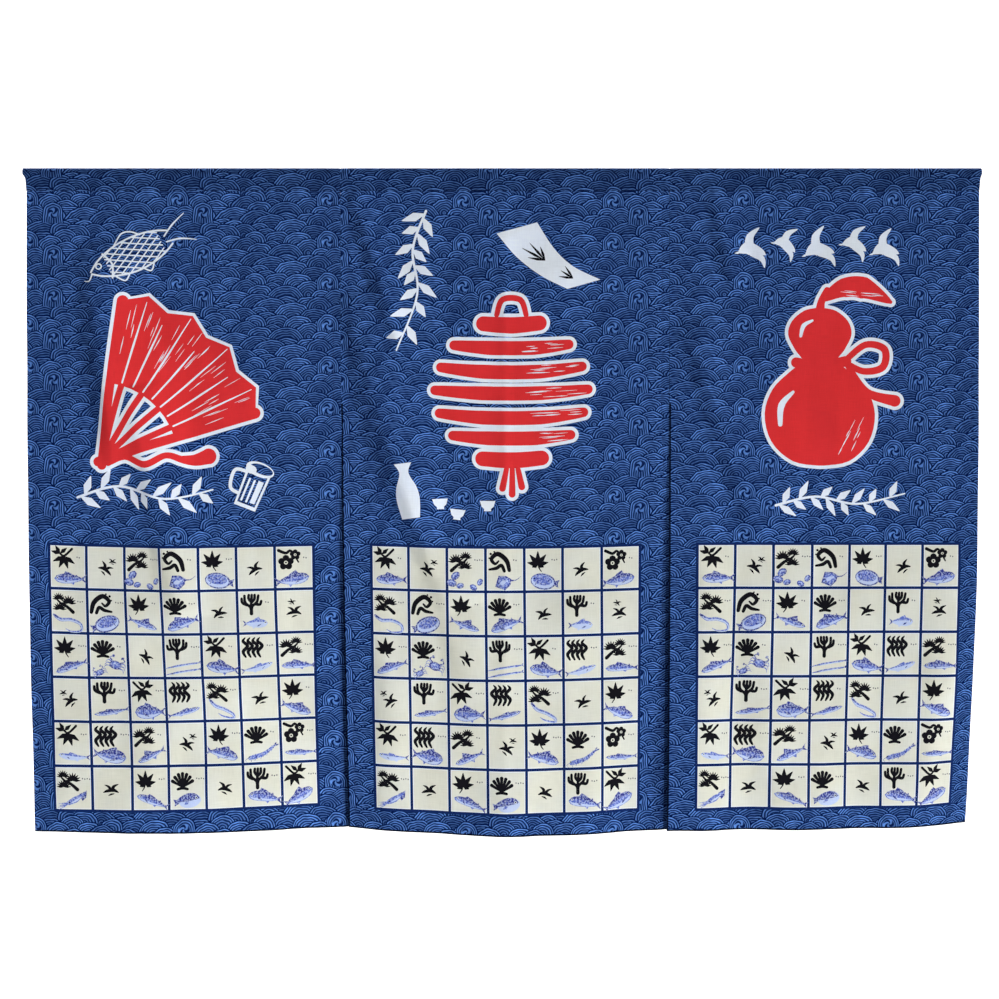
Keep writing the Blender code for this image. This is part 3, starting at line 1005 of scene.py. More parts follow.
def shifted(panel, u, v):
    """Across and drop of a flat place, after the bunching of the cloth round the table."""
    width = (panel.right - panel.left) / MM
    left, right = TABLE_MARGINS[panel.name]
    stops = [0.0, *np.linspace(left, width - right, TABLE_COLUMNS + 1), width]
    head, foot = PRINT_SHIFTS[panel.name]
    share = smooth_step((v - head.drop) / (foot.drop - head.drop))
    held = smooth_step((v - SHIFT_START) / (head.drop - SHIFT_START))
    held *= 1.0 - smooth_step((v - TABLE_FOOT) / (CURTAIN_DROP / MM - TABLE_FOOT))
    moves = []
    for rows in ((head.right, foot.right), (head.down, foot.down)):
        ends = [np.interp(u, stops, (0.0, *row, 0.0)) for row in rows]
        moves.append(held * (ends[0] + (ends[1] - ends[0]) * share))
    return (u + moves[0]) / width, (v + moves[1]) * MM


def print_plan(panel):
    """The panel's flat mesh: places in mm, faces, and the ink of each face."""
    width = (panel.right - panel.left) / MM
    head = (SLEEVE_HEIGHT + SEAM_GAP) / MM
    foot = CURTAIN_DROP / MM
    side = SIDE_HEM / MM
    hem = foot - FOOT_HEM / MM
    half = TABLE_LINE / 2.0
    left_margin, right_margin = TABLE_MARGINS[panel.name]
    right_side = width - right_margin
    pitch = ((right_side - left_margin) / TABLE_COLUMNS, (TABLE_FOOT - TABLE_TOP) / TABLE_ROWS)
    columns = [left_margin - half]
    columns += [left_margin + pitch[0] * (k + 1) for k in range(TABLE_COLUMNS - 1)]
    columns += [right_side + half]
    rows = [TABLE_TOP - half]
    rows += [TABLE_TOP + pitch[1] * (k + 1) for k in range(TABLE_ROWS - 1)]
    rows += [TABLE_FOOT + half]
    dip = STITCH_DIP_HALF
    across = grid_lines([0.0, SLIT_SHADE_STRIP, side - dip, side, side + dip, *columns,
                         width - side - dip, width - side, width - side + dip,
                         width - UNDER_SHADE_STRIP, width], GRID_STEP)
    down = grid_lines([head, *rows, hem - dip, hem, hem + dip, foot - FOOT_SHADE_STRIP, foot], GRID_STEP)
    blocks = []
    for spans, shapes in merged_blocks(prints_of(panel.name), across, down):
        blocks.append((spans, shapes, "ground"))
    paper = []
    figures = []
    for row in range(TABLE_ROWS):
        for column in range(TABLE_COLUMNS):
            corner = (left_margin + pitch[0] * column, TABLE_TOP + pitch[1] * row)
            paper += placed(cell_paper(*pitch), *corner)
            figures += placed(cell_figures(row, column), *corner)
    low = (columns[0] + half, rows[0] + half)
    high = (columns[-1] - half, rows[-1] - half)
    figures = [(ink, np.clip(outline, low, high)) for ink, outline in figures]
    spans = [across.index(columns[0]), across.index(columns[-1]), down.index(rows[0]),
             down.index(rows[-1])]
    blocks.append((spans, paper + figures, "navy"))
    known = {}
    places = []
    faces = []
    inks = []

    def number_of(u, v):
        key = (round(u, 3), round(v, 3))
        if key not in known:
            known[key] = len(places)
            places.append((u, v))
        return known[key]

    taken = np.zeros((len(across), len(down)), dtype=bool)
    for (i0, i1, j0, j1), shapes, base in blocks:
        taken[i0:i1, j0:j1] = True
        spots, triangles, colours = cut_block(across[i0:i1 + 1], down[j0:j1 + 1], shapes, base)
        numbers = [number_of(u, v) for u, v in spots.tolist()]
        for triangle, colour in zip(triangles.tolist(), colours.tolist()):
            corners = tuple(numbers[k] for k in triangle)
            if len(set(corners)) == 3:
                faces.append(corners[::-1])
                inks.append(colour)
    for j in range(len(down) - 1):
        for i in range(len(across) - 1):
            if not taken[i, j]:
                ring = ((across[i], down[j]), (across[i], down[j + 1]),
                        (across[i + 1], down[j + 1]), (across[i + 1], down[j]))
                faces.append(tuple(number_of(u, v) for u, v in ring))
                inks.append(INK["ground"])
    rim = [number_of(u, down[0]) for u in across]
    rim += [number_of(across[-1], v) for v in down[1:]]
    rim += [number_of(u, down[-1]) for u in across[-2::-1]]
    rim += [number_of(across[0], v) for v in down[-2:0:-1]]
    return np.array(places), faces, np.array(inks), rim, width, foot


def in_scene(name, data):
    """An object in the scene for a mesh, a light or the camera."""
    thing = bpy.data.objects.new(name, data)
    bpy.context.scene.collection.objects.link(thing)
    return thing


def add_object(name, verts, faces, materials):
    mesh = bpy.data.meshes.new(name)
    mesh.from_pydata([tuple(v) for v in verts], [], faces)
    for material in materials:
        mesh.materials.append(material)
    return in_scene(name, mesh)


def shade_cloth(mesh):
    mesh.shade_smooth()
    mesh.set_sharp_from_angle(angle=SHARP_ANGLE)


def cloth_object(name, verts, faces, face_inks, reverse, shade, maps, materials):
    """A sheet with its ink colours, its side, its painted shade and its flat maps."""
    cloth = add_object(name, verts, faces, materials)
    mesh = cloth.data
    printed = (face_inks != INK["ground"]).astype(np.int32)
    mesh.polygons.foreach_set("material_index", printed)
    counts = np.array([len(face) for face in faces])
    corner_face = np.repeat(np.arange(len(faces)), counts)
    colours = np.array([ink.colour for ink in INKS], dtype=np.float32)
    colours[[INK[ink] for ink in WASHED]] *= (1.0, 1.0, 1.0, 0.0)
    layer = mesh.attributes.new("ink_colour", "FLOAT_COLOR", "CORNER")
    layer.data.foreach_set("color", colours[face_inks[corner_face]].ravel())
    for layer_name, values in (("reverse", reverse), ("shade", shade)):
        layer = mesh.attributes.new(layer_name, "FLOAT", "CORNER")
        layer.data.foreach_set("value", np.asarray(values, dtype=np.float32)[corner_face])
    for map_name, values in maps.items():
        uv = mesh.uv_layers.new(name=map_name)
        uv.data.foreach_set("uv", np.asarray(values, dtype=np.float32).ravel())
    mesh.uv_layers["print"].active_render = True
    shade_cloth(mesh)
    mesh.validate()
    return cloth


def painted_edge_shade(panel, faces, u, v, width, foot):
    """Painted shade of each face: a dark strip at the foot, a dark strip along a slit's upper
    edge, and shade painted on the edge that lies under it.
    """
    side = SIDE_HEM / MM
    highest = np.array([v[list(face)].min() for face in faces])
    leftmost = np.array([u[list(face)].min() for face in faces])
    rightmost = np.array([u[list(face)].max() for face in faces])
    free = smooth_step((highest * MM - SLIT_TOP) / LIP_RISE)
    # Painted shade under a slit's other edge, darkest in its last strip
    under = (leftmost > width - side + STITCH_DIP_HALF - NEAR) & (panel.lap > 0.0)
    tone = np.where(under, 1.0 - (1.0 - UNDER_HEM_PAINTED_SHADE) * free, 1.0)
    under &= leftmost > width - UNDER_SHADE_STRIP - NEAR
    tone = np.where(under, 1.0 - (1.0 - UNDER_EDGE_PAINTED_SHADE) * free, tone)
    # Painted shade: a dark strip along the upper edge of a slit
    slit_shade_mask = (rightmost < SLIT_SHADE_STRIP + NEAR) & (panel.left_lip > 0.0) & (free > 0.0)
    tone[slit_shade_mask] = SLIT_EDGE_PAINTED_SHADE
    # Painted shade: a dark strip at the very foot
    tone[highest > foot - FOOT_SHADE_STRIP - NEAR] = FOOT_PAINTED_SHADE
    return tone


def build_panel(panel, materials):
    """One printed panel as a closed thin sheet, its hems turned to the back."""
    places, faces, inks, rim, width, foot = print_plan(panel)
    u = places[:, 0]
    v = places[:, 1]
    front = cloth_points(panel, *shifted(panel, u, v))
    side = SIDE_HEM / MM
    hem = foot - FOOT_HEM / MM
    to_side = np.minimum(u, width - u)
    on_line = (np.abs(to_side - side) < NEAR) & (v <= hem + NEAR)
    on_line |= (np.abs(v - hem) < NEAR) & (to_side >= side - NEAR)
    front[on_line, 1] += STITCH_DIP
    turned = (to_side < side - NEAR) | (v > hem + NEAR)
    back = front.copy()
    back[:, 1] += SHEET + np.where(turned, HEM_FOLD, 0.0) - np.where(on_line, STITCH_DIP, 0.0)
    count = len(places)
    all_faces = list(faces)
    all_faces += [tuple(k + count for k in face[::-1]) for face in faces]
    loop = list(zip(rim, rim[1:] + rim[:1]))
    all_faces += [(a, b, b + count, a + count) for a, b in loop]
    face_inks = np.concatenate((inks, inks, np.full(len(loop), INK["ground"])))
    reverse = np.concatenate((np.zeros(len(inks)), np.ones(len(inks)), np.zeros(len(loop))))
    tone = painted_edge_shade(panel, faces, u, v, width, foot)
    # Painted shade: the cut edges all round are darkened like the foot
    shade = np.concatenate((tone, tone, np.full(len(loop), FOOT_PAINTED_SHADE)))
    corners = np.concatenate([np.array(face) for face in all_faces])
    flat = corners % count
    behind = corners >= count
    origin = WAVE_ORIGIN[panel.name]
    maps = {
        "print": np.stack((u[flat] - origin[0], v[flat] - origin[1]), axis=1) * MM,
        "OFBake": np.stack((u[flat] / width * 0.49 + np.where(behind, 0.505, 0.003),
                            0.995 - v[flat] / foot * 0.99), axis=1),
    }
    return cloth_object("cloth_" + panel.name, np.concatenate((front, back)), all_faces,
                        face_inks, reverse, shade, maps, materials)


def build_sleeve(materials):
    """The rod sleeve, a drop-shaped tube with open ends and slight puckers."""
    radius = SLEEVE_DEPTH / 2.0
    centre = -radius

    def ring(around, foot, foot_half, steps):
        """Outline from the foot's back over the top to the foot's front, as y and z."""
        bend = np.linspace(-0.14 * math.pi, 1.14 * math.pi, steps)
        round_part = np.stack((around * np.cos(bend), centre + around * np.sin(bend)), axis=1)
        rise = np.linspace(0.0, 1.0, 8)[:-1, None]
        flank = (foot_half, foot) + rise * (round_part[0] - (foot_half, foot))
        return np.concatenate((flank, round_part, (flank * (-1.0, 1.0))[::-1]))

    outer = ring(radius - SLEEVE_SET_IN, -SLEEVE_HEIGHT, SHEET * 0.9, 22)
    inner = ring(radius - SLEEVE_SET_IN - SHEET, SLEEVE_STITCH_STRIP - SLEEVE_HEIGHT, 0.0002, 22)
    steps = np.linalg.norm(np.diff(outer, axis=0), axis=1)
    travel = np.concatenate(((0.0,), np.cumsum(steps)))
    from_top = (travel - travel[-1] / 2.0) / MM
    seams = [panel.right for panel in PANELS[:-1]]
    low = PANELS[0].left - SLEEVE_OVERHANG
    high = PANELS[-1].right + SLEEVE_OVERHANG_RIGHT
    stops = [low]
    for seam in seams:
        stops += [seam - 0.0015, seam, seam + 0.0015]
    columns = np.array(grid_lines([*stops, high], 0.006))
    verts = []
    for profile in (outer, inner):
        for x in columns:
            dip = sum(SLEEVE_SEAM_DIP * math.exp(-(((x - seam) / SLEEVE_SEAM_HALF) ** 2))
                      for seam in seams)
            pucker = 0.00035 * math.sin(210.0 * x + 3.0 * math.sin(31.0 * x))
            pucker += 0.00025 * math.sin(97.0 * x + 1.0)
            for y, z in profile:
                low_share = smooth_step((centre - z) / (SLEEVE_HEIGHT - radius))
                shrink = 1.0 - (dip + (0.0004 + pucker) * low_share) / radius
                inner_x = min(max(x, PANELS[0].left), PANELS[-1].right)
                held = 1.0 - smooth_step((-0.008 - z) / 0.008)
                verts.append((inner_x + (x - inner_x) * held, y * shrink,
                              min(centre + (z - centre) * (1.0 - dip / radius), 0.0)))
    wide = len(outer)
    count = len(columns)
    base = count * wide
    last = wide - 1
    faces = []
    corner_uv = []
    origins = [WAVE_ORIGIN[panel.name] for panel in PANELS]

    def flat_of(i, k, piece):
        x = columns[i]
        return ((x - PANELS[piece].left) / MM - origins[piece][0],
                from_top[k] - origins[piece][1])

    def add_face(piece, *corners):
        """A face whose corners are each a column, a place on the ring and a wall's start."""
        faces.append(tuple(wall + i * wide + k for i, k, wall in corners))
        corner_uv.extend(flat_of(i, k, piece) for i, k, _ in corners)

    for i in range(count - 1):
        middle = (columns[i] + columns[i + 1]) / 2.0
        piece = sum(middle > seam for seam in seams)
        n = i + 1
        for k in range(last):
            add_face(piece, (i, k, 0), (n, k, 0), (n, k + 1, 0), (i, k + 1, 0))
            add_face(piece, (i, k, base), (i, k + 1, base), (n, k + 1, base), (n, k, base))
        add_face(piece, (i, 0, 0), (i, 0, base), (n, 0, base), (n, 0, 0))
        add_face(piece, (i, last, 0), (n, last, 0), (n, last, base), (i, last, base))
    for i, piece, flip in ((0, 0, False), (count - 1, len(PANELS) - 1, True)):
        for k in range(last):
            face = (i * wide + k, i * wide + k + 1, base + i * wide + k + 1, base + i * wide + k)
            faces.append(face[::-1] if flip else face)
            corner_uv += [flat_of(i, k, piece)] * 4
    inks = np.full(len(faces), INK["ground"])
    # Painted shade: the whole sleeve is darkened
    shade = np.full(len(faces), SLEEVE_PAINTED_SHADE)
    maps = {"print": np.array(corner_uv) * MM}
    return cloth_object("cloth_sleeve", verts, faces, inks, np.zeros(len(faces)), shade, maps,
                        materials)


def bar_faces(first, rings):
    """Faces of a bar through rings of four points, with its two ends."""
    faces = [(ring + k, ring + (k + 1) % 4, ring + (k + 1) % 4 + 4, ring + k + 4)
             for ring in range(first, first + 4 * (rings - 1), 4) for k in range(4)]
    end = first + 4 * (rings - 1)
    return faces + [(first + 3, first + 2, first + 1, first), (end, end + 1, end + 2, end + 3)]


def thread_mesh(name, stitches, material):
    """Short threads: each is a start, an end and an outward direction."""
    verts = []
    faces = []
    for start, end, out in stitches:
        along = end - start
        along = along / np.linalg.norm(along)
        side = np.cross(along, out)
        first = len(verts)
        for place, rise in ((start, 0.0), (start * 0.75 + end * 0.25, 1.0),
                            (start * 0.25 + end * 0.75, 1.0), (end, 0.0)):
            top = place + out * THREAD * (0.15 + 0.55 * rise)
            low = place - out * THREAD * 0.5
            verts += [low - side * THREAD * 0.5, low + side * THREAD * 0.5,
                      top + side * THREAD * 0.3, top - side * THREAD * 0.3]
        faces += bar_faces(first, 4)
    threads = add_object(name, verts, faces, [material])
    shade_cloth(threads.data)
    return threads


def panel_stitches(panel, material):
    """The stitching of one panel's side hems and foot hem, on both faces."""
    width = (panel.right - panel.left) / MM
    side = SIDE_HEM / MM
    hem = (CURTAIN_DROP - FOOT_HEM) / MM
    lines = []
    for u in (side, width - side):
        lines.append(((u, SLEEVE_HEIGHT / MM + 2.0), (u, hem)))
    lines.append(((side, hem), (width - side, hem)))
    starts = []
    ends = []
    for (u0, v0), (u1, v1) in lines:
        length = math.hypot(u1 - u0, v1 - v0)
        count = int(length / STITCH)
        for k in range(count):
            for row, part in zip((starts, ends), STITCH_PART):
                share = (k + part) / count
                row.append((u0 + (u1 - u0) * share, v0 + (v1 - v0) * share))
    starts = np.array(starts)
    ends = np.array(ends)
    at = []
    for flat in (starts, ends, starts + (1.0, 0.0), starts + (0.0, 1.0)):
        at.append(cloth_points(panel, flat[:, 0] / width, flat[:, 1] * MM))
    out = np.cross(at[3] - at[0], at[2] - at[0])
    out /= np.linalg.norm(out, axis=1, keepdims=True)
    out *= -np.sign(out[:, 1:2])
    front = np.array((0.0, STITCH_DIP, 0.0))
    back = np.array((0.0, SHEET + HEM_FOLD, 0.0))
    stitches = list(zip(at[0] + front, at[1] + front, out))
    stitches += list(zip(at[1] + back, at[0] + back, -out))
    return thread_mesh("stitches_" + panel.name, stitches, material)


def sleeve_stitches(material):
    """The row of stitching that closes the sleeve."""
    z = -SLEEVE_HEIGHT + SLEEVE_STITCH_STRIP * 0.5
    stitches = []
    low = PANELS[0].left
    high = PANELS[-1].right
    count = int((high - low) / MM / STITCH)
    for k in range(count):
        a, b = (low + (high - low) * (k + part) / count for part in STITCH_PART)
        for sign in (-1.0, 1.0):
            y = sign * SHEET * 0.95
            ends = (a, b) if sign < 0.0 else (b, a)
            stitches.append((np.array((ends[0], y, z)), np.array((ends[1], y, z)),
                             np.array((0.0, sign, 0.0))))
    return thread_mesh("stitches_sleeve", stitches, material)


def build_tapes(material):
    """Seam allowances behind the two seams and behind the foot of the sleeve."""
    runs = []
    drops = np.arange(SLEEVE_HEIGHT + 0.004, SLIT_TOP + 0.045, 0.006)
    for panel, other in zip(PANELS, PANELS[1:]):
        left = cloth_points(panel, np.full(len(drops), 1.0), drops)
        right = cloth_points(other, np.zeros(len(drops)), drops)
        middle = (left + right) / 2.0
        middle[:, 1] = np.maximum(left[:, 1], right[:, 1])
        runs.append((middle, np.array((TAPE_HALF * MM, 0.0, 0.0))))
    x = np.linspace(PANELS[0].left + 0.002, PANELS[-1].right - 0.002, 160)
    level = np.stack((x, np.full(len(x), 0.0006), np.full(len(x), -SLEEVE_HEIGHT - 0.0002)),
                     axis=1)
    runs.append((level, np.array((0.0, 0.0, -TAPE_HALF * MM * 0.5))))
    verts = []
    faces = []
    for middle, half in runs:
        near = middle + (0.0, SHEET + HEM_FOLD + 0.0004, 0.0)
        first = len(verts)
        for place in near:
            for side, away in ((-1.0, 0.0), (1.0, 0.0), (1.0, TAPE), (-1.0, TAPE)):
                verts.append(place + half * side + (0.0, away, 0.0))
        faces += bar_faces(first, len(near))
    return add_object("seam_allowances", verts, faces, [material])


# Materials
Fan = namedtuple("Fan", "x crown half_width half_height")
FANS = tuple(Fan(*row) for row in (
    (0, 0, 19.5, 18), (-112, -12, 20.2, 18.6), (-98, -2, 16.9, 15.6), (-67, -2, 22.1, 20.4),
    (-39, -1, 22.8, 21), (-110, 7, 22.1, 20.4), (-25, 9, 20.8, 19.2), (-91, 14, 19.5, 18),
    (-56, 15, 28.6, 26.4), (-26, 30, 18.2, 16.8), (-93, 26, 31.2, 28.4), (-124, 22, 32.5, 28.4),
    (-76, 32, 29.9, 27.6), (-47, 38, 28.6, 26.4), (-17, 46, 24.7, 22.8), (32, 4, 19.5, 18),
    (11, 21, 20.8, 28.4), (36, 21, 16.9, 15.6), (56, 21, 33.1, 28.4), (23, 40, 33.8, 28.4),
    (51, -5, 18.9, 17.4), (67, -11, 20.8, 19.2), (-129, 3, 19.5, 18), (-11, 31, 19.2, 16),
    (-6, 21, 19.2, 16), (-81, -6, 21.4, 17.8), (48, 41, 18.5, 15.4), (77, 40, 18.1, 15.1),
    (20, -1, 21.6, 18), (53, 12, 18.7, 15.5), (-55, 29, 21.9, 18.3), (64, 37, 20.4, 17),
    (-74, 11, 17.9, 14.9), (3, 14, 22.4, 18.7), (-92, 44, 18.6, 15.5)))
FAN_TONES = (1.0, 0.70, 0.92, 0.78, 1.08, 0.66, 0.96, 0.84, 0.74)
Swirl = namedtuple("Swirl", "x y radius legs turn")
SWIRLS = (Swirl(1.0, 13.0, 15.5, 8.0, 0.4), Swirl(35.0, 31.0, 14.5, 14.0, 2.1))
SWIRL_HEART = 7.0         # mm, radius of the whorl inside a swirl
# Slow waves that make the hand-cut print uneven, with whole numbers of turns on the tile
Wave = namedtuple("Wave", "across down start size")
WOBBLE_ACROSS = (Wave(5, 2, 0.3, 0.45), Wave(-9, 3, 2.0, 0.35), Wave(17, 1, 4.1, 0.22))
WOBBLE_DOWN = (Wave(7, -1, 1.2, 0.45), Wave(11, 3, 3.3, 0.35), Wave(-19, 2, 5.2, 0.22))
PRESSURE = (Wave(6, 1, 0.9, 0.10), Wave(-10, 2, 2.7, 0.10), Wave(23, -3, 4.4, 0.09),
            Wave(15, 5, 1.7, 0.08))
RING_STEP = 3.1           # mm between the lines of a fan
WAVE_FIELD = 0.06         # tone between a fan's lines
WAVE_DARK = srgb(0, 16, 65)
WAVE_LIGHT = srgb(101, 151, 234)
FIRST_RING = 0.7          # mm that the lines lie further in from a fan's edge
SWIRL_TONE = 0.85
SWIRL_ARMS = 3.0
SWIRL_TWIST = 0.75        # radians a mm
WEAVE_PITCH = 0.6         # mm
REVERSE_SHARE = 0.62      # how far the print fades into the tint below when seen from behind
REVERSE_TINT = srgb(70, 92, 138)
WASH_TINT = srgb(196, 208, 236)
AGED_TINT = (1.0, 0.985, 0.94, 1.0)
FAR = 999.0               # mm, below every fan


class Nodes:
    """Builds the nodes of one material."""

    def __init__(self, name):
        self.material = bpy.data.materials.new(name)
        self.material.use_nodes = True
        self.tree = self.material.node_tree
        self.shader = self.tree.nodes["Principled BSDF"]

    def feed(self, socket, value):
        if isinstance(value, bpy.types.NodeSocket):
            self.tree.links.new(value, socket)
        else:
            socket.default_value = value

    def add(self, kind, inputs=(), **settings):
        node = self.tree.nodes.new("ShaderNode" + kind)
        for key, value in settings.items():
            setattr(node, key, value)
        for key, value in dict(inputs).items():
            self.feed(node.inputs[key], value)
        return node

    def math(self, operation, *values):
        return self.add("Math", enumerate(values), operation=operation).outputs[0]

    def vector(self, operation, *values):
        node = self.add("VectorMath", enumerate(values), operation=operation)
        return node.outputs["Value" if operation in ("LENGTH", "DOT_PRODUCT") else "Vector"]

    def blend(self, share, first, second):
        return self.add("Mix", {0: share, 2: first, 3: second}, data_type="FLOAT").outputs[0]

    def tint(self, share, first, second):
        return self.add("Mix", {0: share, 6: first, 7: second}, data_type="RGBA").outputs[2]

    def multiply(self, share, first, second):
        return self.add("Mix", {0: share, 6: first, 7: second}, data_type="RGBA",
                        blend_type="MULTIPLY").outputs[2]

    def ease(self, value, start, end, low=0.0, high=1.0):
        node = self.add("MapRange", {0: value, 1: start, 2: end, 3: low, 4: high},
                        interpolation_type="SMOOTHSTEP")
        return node.outputs[0]

    def noise(self, place, scale, detail=2.0):
        inputs = {"Vector": place, "Scale": scale, "Detail": detail}
        return self.add("TexNoise", inputs, noise_dimensions="2D").outputs[0]


def flat_place(nodes):
    """Place on the flat print, in mm."""
    uv = nodes.add("UVMap", uv_map="print").outputs[0]
    return nodes.vector("MULTIPLY_ADD", uv, (1000.0, 1000.0, 0.0), (0.0, 0.0, 1.0))


def tile_waves(nodes, place, waves):
    """Sum of sine waves that repeat with the tile."""
    total = 0.0
    for wave in waves:
        ways = (2.0 * math.pi * wave.across / TILE[0], 2.0 * math.pi * wave.down / TILE[1],
                wave.start)
        height = nodes.math("SINE", nodes.vector("DOT_PRODUCT", place, ways))
        total = nodes.math("MULTIPLY_ADD", height, wave.size, total)
    return total


def wave_light(nodes, place):
    """How light the wave ground is at a place, from 0 to 1."""
    half = TILE[0] / 2.0
    nearest = FAR
    depth = 0.0
    tone = 0.0
    for number, fan in enumerate(FANS):
        spot = nodes.vector("WRAP", place, (fan.x + half, fan.crown + TILE[1], 2.0),
                            (fan.x - half, fan.crown, 0.0))
        unit = nodes.vector(
            "MULTIPLY_ADD", spot, (1.0 / fan.half_width, 1.0 / fan.half_height, 0.0),
            (-fan.x / fan.half_width, -1.0 - fan.crown / fan.half_height, 0.0))
        reach = nodes.vector("LENGTH", unit)
        below = nodes.vector("DOT_PRODUCT", spot, (0.0, 1.0, -fan.crown))
        key = nodes.math("MULTIPLY_ADD", nodes.math("GREATER_THAN", reach, 1.0), FAR, below)
        taken = nodes.math("LESS_THAN", key, nearest)
        inside = nodes.math("MULTIPLY_ADD", reach, -fan.half_height, fan.half_height)
        depth = nodes.blend(taken, depth, inside)
        tone = nodes.blend(taken, tone, FAN_TONES[number % len(FAN_TONES)])
        nearest = nodes.math("MINIMUM", nearest, key)
    light = nodes.math("MULTIPLY", ringed(nodes, depth), tone)
    for swirl in SWIRLS:
        away = nodes.vector("SUBTRACT", place, (swirl.x, swirl.y, 1.0))
        away = nodes.vector("WRAP", away, (half, TILE[1] / 2.0, 1.0),
                            (-half, -TILE[1] / 2.0, -1.0))
        radius = nodes.vector("LENGTH", away)
        split = nodes.add("SeparateXYZ", {0: away})
        rise = nodes.math("MINIMUM", split.outputs[1], 0.0)
        arch = nodes.add("CombineXYZ", {0: split.outputs[0], 1: rise}).outputs[0]
        reach = nodes.vector("LENGTH", arch)
        rings = ringed(nodes, nodes.math("SUBTRACT", swirl.radius, reach))
        dome = nodes.math("MULTIPLY", rings, SWIRL_TONE)
        angle = nodes.math("ARCTAN2", split.outputs[1], split.outputs[0])
        twist = nodes.math("MULTIPLY_ADD", radius, SWIRL_TWIST, swirl.turn)
        whirl = nodes.math("MULTIPLY_ADD", angle, SWIRL_ARMS, twist)
        whorl = nodes.ease(nodes.math("SINE", whirl), -0.35, 0.45, 0.02, 0.72)
        heart = nodes.ease(radius, SWIRL_HEART - 0.7, SWIRL_HEART + 0.4, 1.0, 0.0)
        dome = nodes.blend(heart, dome, whorl)
        inside = nodes.math("LESS_THAN", reach, swirl.radius)
        above = nodes.math("LESS_THAN", split.outputs[1], swirl.legs)
        light = nodes.blend(nodes.math("MULTIPLY", inside, above), light, dome)
    return light


def ringed(nodes, depth):
    """Light lines inside a fan, from its dark edge inwards."""
    turn = nodes.math("SUBTRACT", depth, FIRST_RING)
    turn = nodes.math("MULTIPLY", turn, 2.0 * math.pi / RING_STEP)
    ring = nodes.math("MULTIPLY_ADD", nodes.math("COSINE", turn), -0.5, 0.5)
    fading = nodes.ease(depth, 0.0, 12.0, 0.9, 0.5)
    ring = nodes.math("MULTIPLY", nodes.ease(ring, 0.36, 0.92), fading)
    edge = nodes.ease(depth, 0.4, 1.9)
    return nodes.math("MULTIPLY", nodes.math("ADD", ring, WAVE_FIELD), edge)


def cloth_finish(nodes, place, colour):
    """Woven grain, slight unevenness, painted shade from the shade attribute, and sheen over a
    colour.
    """
    threads_across = nodes.noise(nodes.vector("MULTIPLY", place, (0.05, 1.1, 0.0)), 1.0)
    threads_down = nodes.noise(nodes.vector("MULTIPLY", place, (1.1, 0.05, 0.0)), 1.0)
    slub = nodes.math("ADD", threads_across, threads_down)
    wear = nodes.noise(place, 0.012, 3.0)
    level = nodes.math("MULTIPLY_ADD", slub, 0.14, 0.86)
    level = nodes.math("MULTIPLY", level, nodes.math("MULTIPLY_ADD", wear, 0.24, 0.88))
    # Painted shade: the shade attribute darkens the colour
    shade = nodes.add("Attribute", attribute_name="shade").outputs["Fac"]
    level = nodes.math("MULTIPLY", level, shade)
    grey = nodes.add("CombineColor", {0: level, 1: level, 2: level}).outputs[0]
    colour = nodes.multiply(1.0, colour, grey)
    reverse = nodes.add("Attribute", attribute_name="reverse").outputs["Fac"]
    weak = nodes.tint(REVERSE_SHARE, colour, REVERSE_TINT)
    colour = nodes.tint(reverse, colour, weak)
    nodes.feed(nodes.shader.inputs["Base Color"], colour)
    turns = nodes.vector("SCALE", place)
    turns.node.inputs["Scale"].default_value = 2.0 * math.pi / WEAVE_PITCH
    split = nodes.add("SeparateXYZ", {0: turns})
    warp, weft = (nodes.math("SINE", split.outputs[axis]) for axis in (0, 1))
    weave = nodes.math("MULTIPLY", warp, weft)
    height = nodes.math("MULTIPLY_ADD", weave, 0.5, slub)
    bump = nodes.add("Bump", {"Strength": 0.35, "Distance": 0.00012, "Height": height})
    nodes.feed(nodes.shader.inputs["Normal"], bump.outputs[0])
    shader = nodes.shader.inputs
    for name, value in (("Roughness", 0.86), ("Specular IOR Level", 0.01), ("Sheen Weight", 0.01),
                        ("Sheen Roughness", 0.45), ("Sheen Tint", (0.75, 0.82, 1.0, 1.0))):
        shader[name].default_value = value


def wave_material():
    nodes = Nodes("wave_print")
    place = flat_place(nodes)
    wobble = nodes.add("CombineXYZ", {0: tile_waves(nodes, place, WOBBLE_ACROSS),
                                      1: tile_waves(nodes, place, WOBBLE_DOWN)}).outputs[0]
    light = wave_light(nodes, nodes.vector("ADD", place, wobble))
    pressure = nodes.math("ADD", tile_waves(nodes, place, PRESSURE), 0.92)
    light = nodes.math("MULTIPLY", light, pressure)
    cloth_finish(nodes, place, nodes.tint(light, WAVE_DARK, WAVE_LIGHT))
    return nodes.material


def ink_material():
    nodes = Nodes("ink_print")
    place = flat_place(nodes)
    ink = nodes.add("Attribute", attribute_name="ink_colour")
    patches = nodes.ease(nodes.noise(place, 0.42, 1.0), 0.42, 0.66, 0.0, 0.62)
    washed = nodes.math("MULTIPLY", patches, nodes.math("SUBTRACT", 1.0, ink.outputs["Alpha"]))
    printed = nodes.tint(washed, ink.outputs["Color"], WASH_TINT)
    aged = nodes.ease(nodes.noise(place, 0.016, 2.0), 0.36, 0.64)
    cloth_finish(nodes, place, nodes.multiply(aged, printed, AGED_TINT))
    return nodes.material


def plain_material(name, colour, roughness):
    nodes = Nodes(name)
    nodes.shader.inputs["Base Color"].default_value = colour
    nodes.shader.inputs["Roughness"].default_value = roughness
    nodes.shader.inputs["Specular IOR Level"].default_value = 0.2
    return nodes.material


